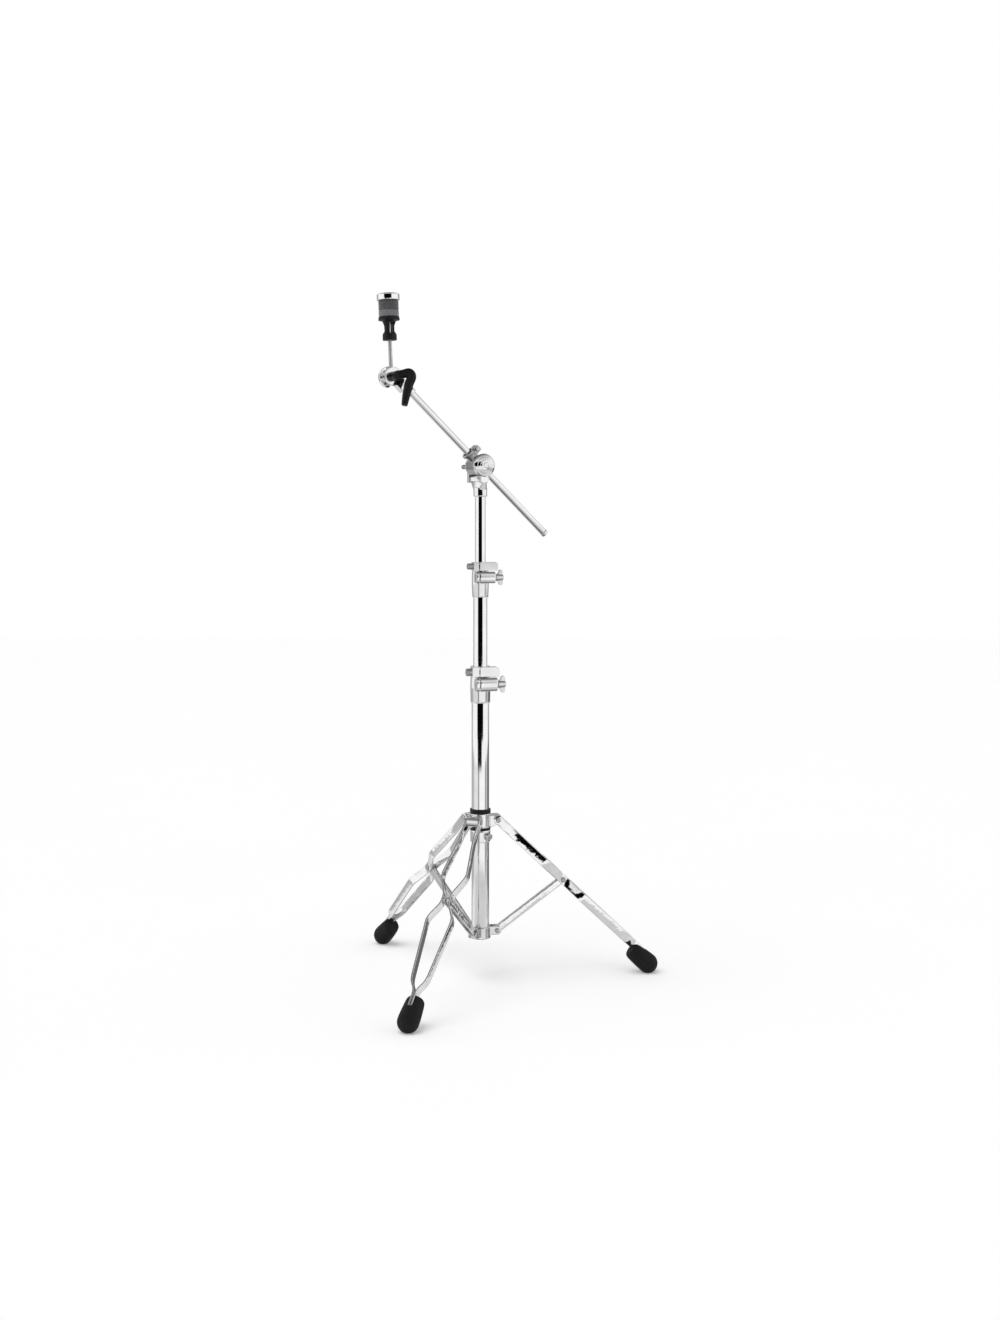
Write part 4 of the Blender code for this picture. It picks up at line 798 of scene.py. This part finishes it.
def build_lock(label, tube_r, outer, bottom, top, height, reach, lug, knob_r):
    low, high, half_depth, half_height = lug
    bore = tube_r + GAP
    name = f"{label}_memory_lock"
    local = STAND.inverted() @ clamp_frame(height, reach)
    inside = bore - 0.0006
    lock = turned(f"{label}_lock_casting", [(outer, top), (outer, bottom), (inside, bottom),
                                            (inside, top)], FINE, True)
    slant = 0.0035
    outline = soften([(low, -half_height), (high, -half_height), (high, half_height - slant),
                      (high - slant, half_height), (low, half_height)], 0.0012, 4, closed=True)
    barrel = prism(f"{label}_lock_barrel", outline, 2.0 * half_depth)
    join(lock, barrel, local @ Y_TO_Z)
    cut(lock, cylinder(f"{label}_lock_bore", bore, bottom - 0.02, top + 0.02, FINE))
    slot = block(f"{label}_lock_slot", (-0.0105, -0.5 * reach, -0.03), (-0.0088, 0.5 * reach, 0.03))
    cut(lock, slot, local @ shift(y=-0.6 * reach))
    shank = 0.0025
    cut(lock, cylinder(f"{label}_lock_bolt_hole", shank + GAP, -0.04, 0.04, SMALL),
        local @ shift(y=-0.0008) @ Z_TO_X)
    place(lock, name, STAND, "polished", name, voxel=0.00045, smooth=3)
    head = low - GAP
    bolt = turned(f"{label}_lock_bolt", [(0.0, 0.0220), (shank, 0.0220), (shank, head),
                                         (knob_r, head), (knob_r, head - 0.0092),
                                         (0.0, head - 0.0092)], MEDIUM, ease=0.0010)
    for number in range(10):
        groove = cylinder(f"{label}_groove_{number}", 0.0011, head - 0.02, head - 0.0012, 12)
        turn = Matrix.Rotation(radians(36.0 * number), 4, "Z")
        cut(bolt, groove, turn @ shift(x=knob_r + 0.0004))
    place(bolt, name, clamp_frame(height, reach) @ shift(y=-0.0008) @ Z_TO_X, "steel", name + "_bolt")


def build_heights():
    sleeve = [(0.0178, LOWER_CLAMP_TOP_Z), (0.0184, 0.5300), (0.0178, 0.5060), (0.0172, 0.5033)]
    build_clamp("lower", "base", BASE_R, MIDDLE_R, BASE_TOP_Z, sleeve,
                (-0.0165, 0.0240, 0.0085, 0.0124, 0.5255), LOWER_CLAMP_Z, LOWER_CLAMP_REACH,
                (0.0245, 0.0400, 0.0066, 0.0155))
    sleeve = [(0.0152, UPPER_CLAMP_TOP_Z), (0.0156, 0.7200), (0.0148, 0.6970), (0.0143, 0.6950)]
    build_clamp("upper", "middle_tube", MIDDLE_R, UPPER_R, MIDDLE_TOP_Z, sleeve,
                (-0.0160, 0.0210, 0.0080, 0.0106, 0.7205), UPPER_CLAMP_Z, UPPER_CLAMP_REACH,
                (0.0215, 0.0365, 0.0062, 0.0142))
    build_lock("lower", MIDDLE_R, 0.0178, LOWER_CLAMP_TOP_Z + 0.0006, LOWER_LOCK_TOP_Z,
               LOWER_LOCK_Z, LOWER_LOCK_REACH, (-0.0240, 0.0275, 0.0065, 0.0088), 0.0070)
    build_lock("upper", UPPER_R, 0.0150, UPPER_CLAMP_TOP_Z + 0.0006, UPPER_LOCK_TOP_Z,
               UPPER_LOCK_Z, UPPER_LOCK_REACH, (-0.0210, 0.0270, 0.0060, 0.0078), 0.0058)
    tube = ring("tube_middle", MIDDLE_R - MIDDLE_WALL, MIDDLE_R, MIDDLE_BOTTOM_Z, MIDDLE_TOP_Z)
    place(tube, "middle_tube", STAND, "chrome", "middle_tube")
    tube = ring("tube_upper", UPPER_R - UPPER_WALL, UPPER_R, UPPER_BOTTOM_Z, UPPER_TOP_Z)
    place(tube, "upper_tube", STAND, "chrome", "upper_tube")


# ---- boom yoke and clamp
CHEEK_NEAR_Y = -0.0105
CHEEK_NEAR_R = 0.0215
CHEEK_FAR_Y = 0.0190
CHEEK_FAR_OUT_Y = 0.0270
CHEEK_FAR_R = 0.0175
SADDLE_Z = -0.0290
TRUNNION_R = 0.0060
BOLT_R = 0.0040
BOLT_TIP_Y = 0.0660


def build_yoke():
    socket_r, bottom = 0.0125, -0.0560
    bore = UPPER_R + GAP
    tube_top = UPPER_TOP_Z - BOOM_PIVOT_Z + GAP
    yoke = turned("yoke_casting", [(0.0, -0.0400), (socket_r, -0.0400), (socket_r, bottom),
                                   (bore, bottom), (bore, tube_top), (0.0, tube_top)], FINE)
    saddle_low = CHEEK_NEAR_Y - 0.0060
    corners = [(x, y, -0.0440) for x, y in circle((0.0, 0.0), socket_r - 0.0002, MEDIUM)]
    centre_y = 0.5 * (saddle_low + CHEEK_FAR_OUT_Y)
    half_y = 0.5 * (CHEEK_FAR_OUT_Y - saddle_low)
    for height, size in ((SADDLE_Z - 0.0060, 0.93), (SADDLE_Z - 0.0030, 1.0), (SADDLE_Z, 1.0)):
        corners += [(0.0100 * size * x, centre_y + half_y * size * y, height)
                    for x, y in circle((0.0, 0.0), 1.0, MEDIUM)]
    join(yoke, hull_of("yoke_saddle", corners))
    join(yoke, block("yoke_near_web", (-0.0080, saddle_low + 0.0003, SADDLE_Z - 0.002),
                     (0.0080, CHEEK_NEAR_Y - 0.0003, -0.0050)))
    join(yoke, block("yoke_far_web", (-0.0130, CHEEK_FAR_Y + 0.0003, SADDLE_Z - 0.0015),
                     (0.0130, CHEEK_FAR_OUT_Y - 0.0004, -0.0040)))
    rim = -CHEEK_NEAR_Y
    near = turned("yoke_near_disc", [(0.0, rim + 0.0050), (0.0200, rim + 0.0050),
                                     (0.0210, rim + 0.0040), (0.0210, rim), (0.0, rim)], FINE)
    join(yoke, near, Z_TO_Y.inverted())
    far = turned("yoke_far_disc", [
        (0.0, CHEEK_FAR_OUT_Y), (CHEEK_FAR_R, CHEEK_FAR_OUT_Y), (CHEEK_FAR_R, CHEEK_FAR_Y - 0.0002),
        (0.0, CHEEK_FAR_Y - 0.0002)], FINE)
    join(yoke, far, Z_TO_Y)
    cut(yoke, cylinder("yoke_socket", bore, -0.0700, tube_top - 0.00002, FINE))
    cut(yoke, cylinder("yoke_bolt_hole", BOLT_R + GAP, 0.0150, 0.0300), Z_TO_Y)
    cut(yoke, cylinder("yoke_trunnion_hole", TRUNNION_R + GAP, -0.0152, -0.0090), Z_TO_Y)
    place(yoke, "upper_tube", YOKE, "polished", "boom_yoke", voxel=0.00050, smooth=8)
    # The dome is turned in steps, each edged by a fine groove.
    rise = [(0.0, 0.0120), (0.0044, 0.0119), (0.0050, 0.0112), (0.0057, 0.0116), (0.0098, 0.0109),
            (0.0104, 0.0102), (0.0111, 0.0104), (0.0150, 0.0092), (0.0156, 0.0084),
            (0.0163, 0.0086), (0.0195, 0.0070), (CHEEK_NEAR_R, 0.0050), (CHEEK_NEAR_R, 0.0012),
            (0.0206, 0.0004), (TRUNNION_R + GAP, 0.0004), (TRUNNION_R + GAP, 0.0048),
            (0.0, 0.0048)]
    dome = turned("yoke_dome", [(r, rim + z) for r, z in rise], FINE, ease=0.0003)
    place(dome, "upper_tube", YOKE @ Z_TO_Y.inverted(), "polished")


def build_boom_clamp():
    """The drum that holds the boom, with a collar and pinch bolt on its upper end."""
    drum_r = 0.0205
    to_boom = Z_TO_Y.inverted()
    drum = turned("boom_drum", [(0.0, 0.0185), (drum_r, 0.0185), (drum_r, -0.0100), (TRUNNION_R, -0.0100),
        (TRUNNION_R, -0.0147), (0.0, -0.0147)], FINE)
    neck = turned("boom_neck", [(0.0, 0.0355), (0.0125, 0.0355), (0.0125, 0.0302),
                                (0.0098, 0.0296), (0.0098, 0.0050), (0.0, 0.0050)], FINE)
    join(drum, neck, to_boom)
    join(drum, block("boom_ear", (0.0040, -0.0080, 0.0215), (0.0205, 0.0080, 0.0330)), to_boom)
    cut(drum, cylinder("boom_bore", BUSH_R + GAP, -0.03, 0.05, FINE), to_boom)
    cut(drum, block("boom_ear_slot", (0.0050, -0.0010, 0.0190), (0.0220, 0.0010, 0.0400)), to_boom)
    pinch = to_boom @ shift(0.0157, 0.0, 0.0275) @ Z_TO_Y
    cut(drum, cylinder("boom_pinch_hole", 0.0027, -0.02, 0.02, SMALL), pinch)
    cut(drum, cylinder("boom_bolt_hole", BOLT_R + GAP, 0.0104, 0.0200))
    # The drum's darker cast metal is painted shade and painted dark reflection.
    place(drum, "boom_clamp", BOOM @ Z_TO_Y, "dark_cast", "boom_clamp_housing", voxel=0.00050, smooth=4)

    screw = turned("boom_pinch_screw", [(0.0, 0.0115), (0.0024, 0.0115), (0.0024, -0.0083),
                                        (0.0045, -0.0083), (0.0045, -0.0118), (0.0, -0.0118)],
                   SMALL)
    place(screw, "boom_clamp", BOOM @ shift(0.0157, 0.0, 0.0275) @ Z_TO_Y, "steel", "boom_clamp_screw")
    # The bolt's exposed end carries a rolled thread.
    thread = [(0.0, BOLT_TIP_Y), (BOLT_R - 0.0012, BOLT_TIP_Y)]
    pitch = 0.00125
    for k in range(14):
        z = BOLT_TIP_Y - 0.0010 - k * pitch
        thread += [(BOLT_R, z), (BOLT_R - 0.0006, z - 0.5 * pitch)]
    thread += [(BOLT_R, 0.0460), (BOLT_R, 0.0107), (0.0, 0.0107)]
    bolt = turned("boom_pivot_stud", thread, SMALL, ease=0.0)
    place(bolt, "boom_clamp", BOOM @ Z_TO_Y, "steel", "boom_pivot_bolt")
    wing = wing_shape("boom_wing", 0.0276, 0.0470, 0.0085, 0.0185, 0.0048, BOLT_R + GAP)
    turn = YOKE @ Z_TO_Y @ Matrix.Rotation(radians(90.0), 4, "Z")
    place(wing, "boom_wing_nut", turn, "cast", "boom_wing_nut", voxel=0.00045, smooth=6)
    bush = ring("boom_grip_bush", BOOM_R + GAP, BUSH_R, -0.0195, 0.0340)
    place(bush, "boom_bush", BOOM, "nylon", "boom_bush")


def build_boom():
    arm = ring("boom_tube", BOOM_R - BOOM_WALL, BOOM_R, BOOM_LOW_END + 0.0065, BOOM_HIGH_END)
    place(arm, "boom_arm", BOOM, "chrome", "boom_arm")
    plug_r = BOOM_R - BOOM_WALL - GAP
    lip = BOOM_LOW_END + 0.0062
    cap = turned("boom_cap", [(0.0, lip + 0.010), (plug_r, lip + 0.010), (plug_r, lip),
                              (0.0069, lip), (0.0069, BOOM_LOW_END), (0.0, BOOM_LOW_END)],
                 MEDIUM, ease=0.0010)
    place(cap, "boom_arm", BOOM, "polished", "boom_end_cap")


# ---- tilter
TILT_BLOCK_R = 0.0120
TILT_DISC_R = 0.0190
LEVER_SHANK_R = 0.0032


def build_tilter():
    neck_low = 0.1870
    body = turned("tilter_neck", [
        (0.0, 0.2155), (0.0082, 0.2155), (0.0082, neck_low + 0.0070), (0.0092, neck_low + 0.0065),
        (0.0092, neck_low), (BOOM_R + GAP, neck_low), (BOOM_R + GAP, BOOM_HIGH_END + GAP),
        (0.0, BOOM_HIGH_END + GAP)], FINE)
    join(body, block("tilter_bridge", (-0.0150, -0.0130, 0.2030), (0.0040, 0.0040, 0.2218)))
    pivot = shift(TILT_PIVOT_OFF, 0.0, TILT_PIVOT_S)
    join(body, cylinder("tilter_cheek", 0.0165, 0.0070, 0.0130, FINE), pivot @ Z_TO_Y.inverted())
    cut(body, cylinder("tilter_cheek_hole", LEVER_SHANK_R + GAP, -0.0200, 0.0), pivot @ Z_TO_Y)
    place(body, "boom_arm", BOOM, "polished", "tilter_body", voxel=0.00045, smooth=4)

    bore = LEVER_SHANK_R + GAP
    disc = turned("tilter_drum", [(0.0, 0.0172), (0.0120, 0.0166), (0.0175, 0.0150), (TILT_DISC_R, 0.0130),
        (TILT_DISC_R, 0.0052), (TILT_BLOCK_R, 0.0052), (TILT_BLOCK_R, -0.0067), (bore, -0.0067),
        (bore, 0.0130), (0.0, 0.0130)], FINE, ease=0.0010)
    to_tilter = Z_TO_Y.inverted()
    turn_to_boom = TILTER.inverted() @ BOOM
    turn_to_boom.translation = (0.0, 0.0, 0.0)
    flat = block("tilter_flat", (-0.0300, 0.0045, -0.0300), (0.0300, 0.0200, -0.0112))
    cut(disc, flat, to_tilter @ turn_to_boom)
    hole = cylinder("tilter_post_hole", POST_R + GAP, 0.0045, 0.0400)
    cut(disc, hole, to_tilter @ TILTER.inverted() @ POST)
    place(disc, "tilter", TILTER @ Z_TO_Y, "chrome", "tilter_disc")

    lever = turned("lever_handle", [
        (0.0, 0.0300), (0.0085, 0.0300), (0.0085, 0.0136), (LEVER_SHANK_R, 0.0136),
        (LEVER_SHANK_R, -0.0125), (0.0, -0.0125)], MEDIUM)
    path = [(0.0000, -0.0215, 0.0000), (0.0105, -0.0275, 0.0032), (0.0212, -0.0335, 0.0036),
            (0.0160, -0.0365, -0.0180), (0.0108, -0.0380, -0.0360), (0.0064, -0.0400, -0.0530)]
    radii = [0.0077, 0.0078, 0.0084, 0.0081, 0.0070, 0.0055]
    join(lever, swept("lever_grip", path, radii), Z_TO_Y)
    place(lever, "tilter_lever", TILTER @ Z_TO_Y.inverted(), "lever", "tilter_lever",
          voxel=0.00050, smooth=8)


# ---- post, seat, felts, nut
def roughen(obj, size, depth):
    """Move the surface by a small fibrous noise, the same on every run."""
    for v in obj.data.vertices:
        away = Vector((v.co.x, v.co.y, 0.0))
        if away.length > 0.5 * FELT_R:
            amount = noise.noise(v.co / size) + 0.5 * noise.noise(v.co / (0.4 * size))
            v.co += away.normalized() * (depth * (amount - 0.8))


def felt_ring(name, bore, bottom, top):
    count = 14
    outside = [(FELT_R - 0.0006, top)]
    outside += [(FELT_R, top - 0.0008 - (top - bottom - 0.0016) * k / count) for k in range(count + 1)]
    outside += [(FELT_R - 0.0006, bottom), (bore, bottom), (bore, top)]
    pad = turned(name, outside, 128, True, ease=0.0)
    roughen(pad, 0.0022, 0.00028)
    return pad


def build_top():
    post = cylinder("post_rod", POST_R, 0.0048, POST_TOP, MEDIUM, 0.0005)
    place(post, "tilter", POST, "steel", "cymbal_post")
    bore = POST_R + GAP
    top = SEAT_TOP - 0.0002
    seat = turned("seat_cup", [(0.0055, 0.1310), (0.0055, top), (0.0182, top), (0.0190, SEAT_TOP - 0.0062),
        (0.0172, SEAT_TOP - 0.0062), (0.0120, SEAT_TOP - 0.0080), (0.0090, 0.0895),
        (0.0088, 0.0800), (0.0120, 0.0750), (0.0125, 0.0740), (0.0125, SEAT_BOTTOM),
        (bore, SEAT_BOTTOM), (bore, 0.1310)], FINE, True, 0.0008)
    window = block("seat_window", (-0.0054, -0.0200, 0.0765), (0.0058, 0.0200, 0.0950))
    cut(seat, window)
    place(seat, "tilter", POST, "nylon", "cymbal_seat")
    felt_bore = 0.0055 + GAP
    lower = felt_ring("felt_lower", felt_bore, SEAT_TOP + 0.5 * GAP, FELT_SPLIT - 0.5 * GAP)
    place(lower, "tilter", POST, "grey_felt", "lower_felt")
    upper = felt_ring("felt_upper", felt_bore, FELT_SPLIT + 0.5 * GAP, FELT_TOP)
    place(upper, "upper_felt", POST, "dark_felt", "upper_felt")
    low = FELT_TOP + GAP
    nut = turned("nut_cap", [(0.0, NUT_TOP), (0.0130, NUT_TOP - 0.0003), (0.0184, NUT_TOP - 0.0009),
        (NUT_R, NUT_TOP - 0.0026), (NUT_R, low),
        (bore, low), (bore, POST_TOP + GAP), (0.0, POST_TOP + GAP)], FINE, ease=0.0008)
    place(nut, "top_nut", POST, "chrome", "top_nut")


# ---- studio
def ramp(nodes, factor, stops):
    """Grey levels along 0..1; stops are (place, brightness as shown on a screen)."""
    node = nodes.add("ShaderNodeValToRGB", {"Fac": factor})
    ends = node.color_ramp.elements
    ends[0].position = stops[0][0]
    ends[1].position = stops[-1][0]
    for position, _ in stops[1:-1]:
        ends.new(position)
    for end, (_, brightness) in zip(ends, stops):
        grey = brightness ** SCREEN_GAMMA
        end.color = (grey, grey, grey, 1.0)
    return node.outputs["Color"]


def around(stops):
    """Stops given as (degrees from the front, left negative, brightness) as shares of a turn."""
    return [((degrees + 180.0) / 360.0, brightness) for degrees, brightness in stops]


SCREEN_GAMMA = 2.2
# The room's walls, seen level with the stand's top, its middle and its base, and its floor.
TOP_WALLS = around([(-180, 0.64), (-135, 0.66), (-118, 0.78), (-104, 1.0), (-42, 1.0),
                    (-36, 0.05), (36, 0.05), (42, 1.0), (112, 1.0), (124, 0.72),
                    (150, 0.64), (180, 0.64)])
MIDDLE_WALLS = around([(-180, 0.64), (-135, 0.66), (-118, 0.80), (-104, 1.0), (-38, 1.0),
                       (-29, 0.05), (15, 0.05), (23, 1.0), (112, 1.0), (124, 0.74),
                       (150, 0.64), (180, 0.64)])
BASE_WALLS = around([(-180, 0.70), (-95, 0.72), (-86, 0.90), (-31, 0.92), (-27, 0.60),
                     (-15, 0.62), (-11, 1.0), (60, 1.0), (66, 0.65), (88, 0.66),
                     (94, 0.90), (106, 0.46), (180, 0.36)])
FLOOR = around([(-180, 0.78), (-130, 0.90), (-100, 0.95), (-62, 0.82), (62, 0.82),
                (100, 0.90), (180, 0.78)])
CEILING = [(0.0, 1.0), (0.12, 0.95), (0.38, 0.80), (0.80, 0.52), (1.0, 0.36)]
UNDERFOOT = 0.45 ** SCREEN_GAMMA


def build_world():
    """A pale studio: bright all round, a dark opening in front of the stand, grey behind it."""
    world = bpy.data.worlds.new("studio")
    bpy.context.scene.world = world
    world.use_nodes = True
    tree = world.node_tree
    tree.nodes.clear()
    nodes = Nodes(tree)
    direction = nodes.add("ShaderNodeTexCoord").outputs["Generated"]
    parts = nodes.add("ShaderNodeSeparateXYZ", {"Vector": direction})
    flip = nodes.add("ShaderNodeMath", {0: parts.outputs["Y"], 1: -1.0}, operation="MULTIPLY")
    turn = nodes.add("ShaderNodeMath", {0: parts.outputs["X"], 1: flip.outputs[0]}, operation="ARCTAN2")
    share = nodes.spread(turn.outputs[0], 0.0, 1.0, -math.pi, math.pi)
    rise = parts.outputs["Z"]
    whole = nodes.mix(nodes.spread(rise, 0.0, 1.0, -0.88, -0.72),
                      (UNDERFOOT, UNDERFOOT, UNDERFOOT), ramp(nodes, share, FLOOR))
    for walls, start, end in ((BASE_WALLS, -0.31, -0.28), (MIDDLE_WALLS, -0.088, -0.074),
                              (TOP_WALLS, -0.024, -0.019)):
        whole = nodes.mix(nodes.spread(rise, 0.0, 1.0, start, end), whole, ramp(nodes, share, walls))
    above = ramp(nodes, nodes.spread(rise, 0.0, 1.0, 0.31, 1.0), CEILING)
    whole = nodes.mix(nodes.spread(rise, 0.0, 1.0, 0.31, 0.38), whole, above)
    studio = nodes.add("ShaderNodeBackground", {"Color": whole, "Strength": 1.0})
    plain = nodes.add("ShaderNodeBackground", {"Color": (1.0, 1.0, 1.0, 1.0), "Strength": 1.0})
    seen = nodes.add("ShaderNodeLightPath").outputs["Is Camera Ray"]
    both = nodes.add("ShaderNodeMixShader", {"Fac": seen})
    tree.links.new(studio.outputs[0], both.inputs[1])
    tree.links.new(plain.outputs[0], both.inputs[2])
    out = nodes.add("ShaderNodeOutputWorld")
    tree.links.new(both.outputs[0], out.inputs["Surface"])


def build_studio():
    build_world()
    side = 9.0
    shape = bmesh.new()
    bmesh.ops.create_grid(shape, x_segments=4, y_segments=4, size=side)
    floor = mesh_object("floor", shape)
    bpy.context.scene.collection.objects.link(floor)
    floor.location = (0.0, 0.0, -0.0002)
    floor.visible_glossy = False
    material, nodes, shader, place = start_material("floor")
    cloud = nodes.noise(place, 1.5, 2.0).outputs["Fac"]
    tone = nodes.mix(cloud, (0.95, 0.95, 0.955), (0.97, 0.97, 0.97))
    nodes.link(tone, shader.inputs["Base Color"])
    shader.inputs["Roughness"].default_value = 0.9
    shader.inputs["Emission Color"].default_value = (1.0, 1.0, 1.0, 1.0)
    shader.inputs["Emission Strength"].default_value = 0.20
    floor.data.materials.append(material)
    sun = bpy.data.lights.new("softbox", "SUN")
    sun.energy = 1.35
    sun.angle = radians(50.0)
    lamp = bpy.data.objects.new("softbox", sun)
    lamp.rotation_euler = (radians(14.0), radians(-16.0), 0.0)
    lamp.visible_glossy = False
    bpy.context.scene.collection.objects.link(lamp)


LENS = 41.25
SENSOR = 36.0
RISE_SHIFT = -0.0955
EYE_SIDE = 0.0358
EYE_DISTANCE = 2.75
EYE_HEIGHT = 0.81


def build_camera():
    camera = bpy.data.cameras.new("camera")
    camera.lens = LENS
    camera.sensor_width = SENSOR
    camera.shift_y = RISE_SHIFT
    camera.clip_end = 60.0
    eye = bpy.data.objects.new("camera", camera)
    eye.location = (STAND_X + EYE_SIDE, STAND_Y - EYE_DISTANCE, EYE_HEIGHT)
    eye.rotation_euler = (radians(90.0), 0.0, 0.0)
    bpy.context.scene.collection.objects.link(eye)
    bpy.context.scene.camera = eye
    bpy.context.scene.view_settings.view_transform = "Standard"


build_base()
build_collar()
for leg_number, leg_azimuth in enumerate(LEG_AZIMUTHS, 1):
    build_leg(leg_number, leg_azimuth)
    build_brace(leg_number, leg_azimuth)
build_heights()
build_yoke()
build_boom_clamp()
build_boom()
build_tilter()
build_top()
build_studio()
build_camera()
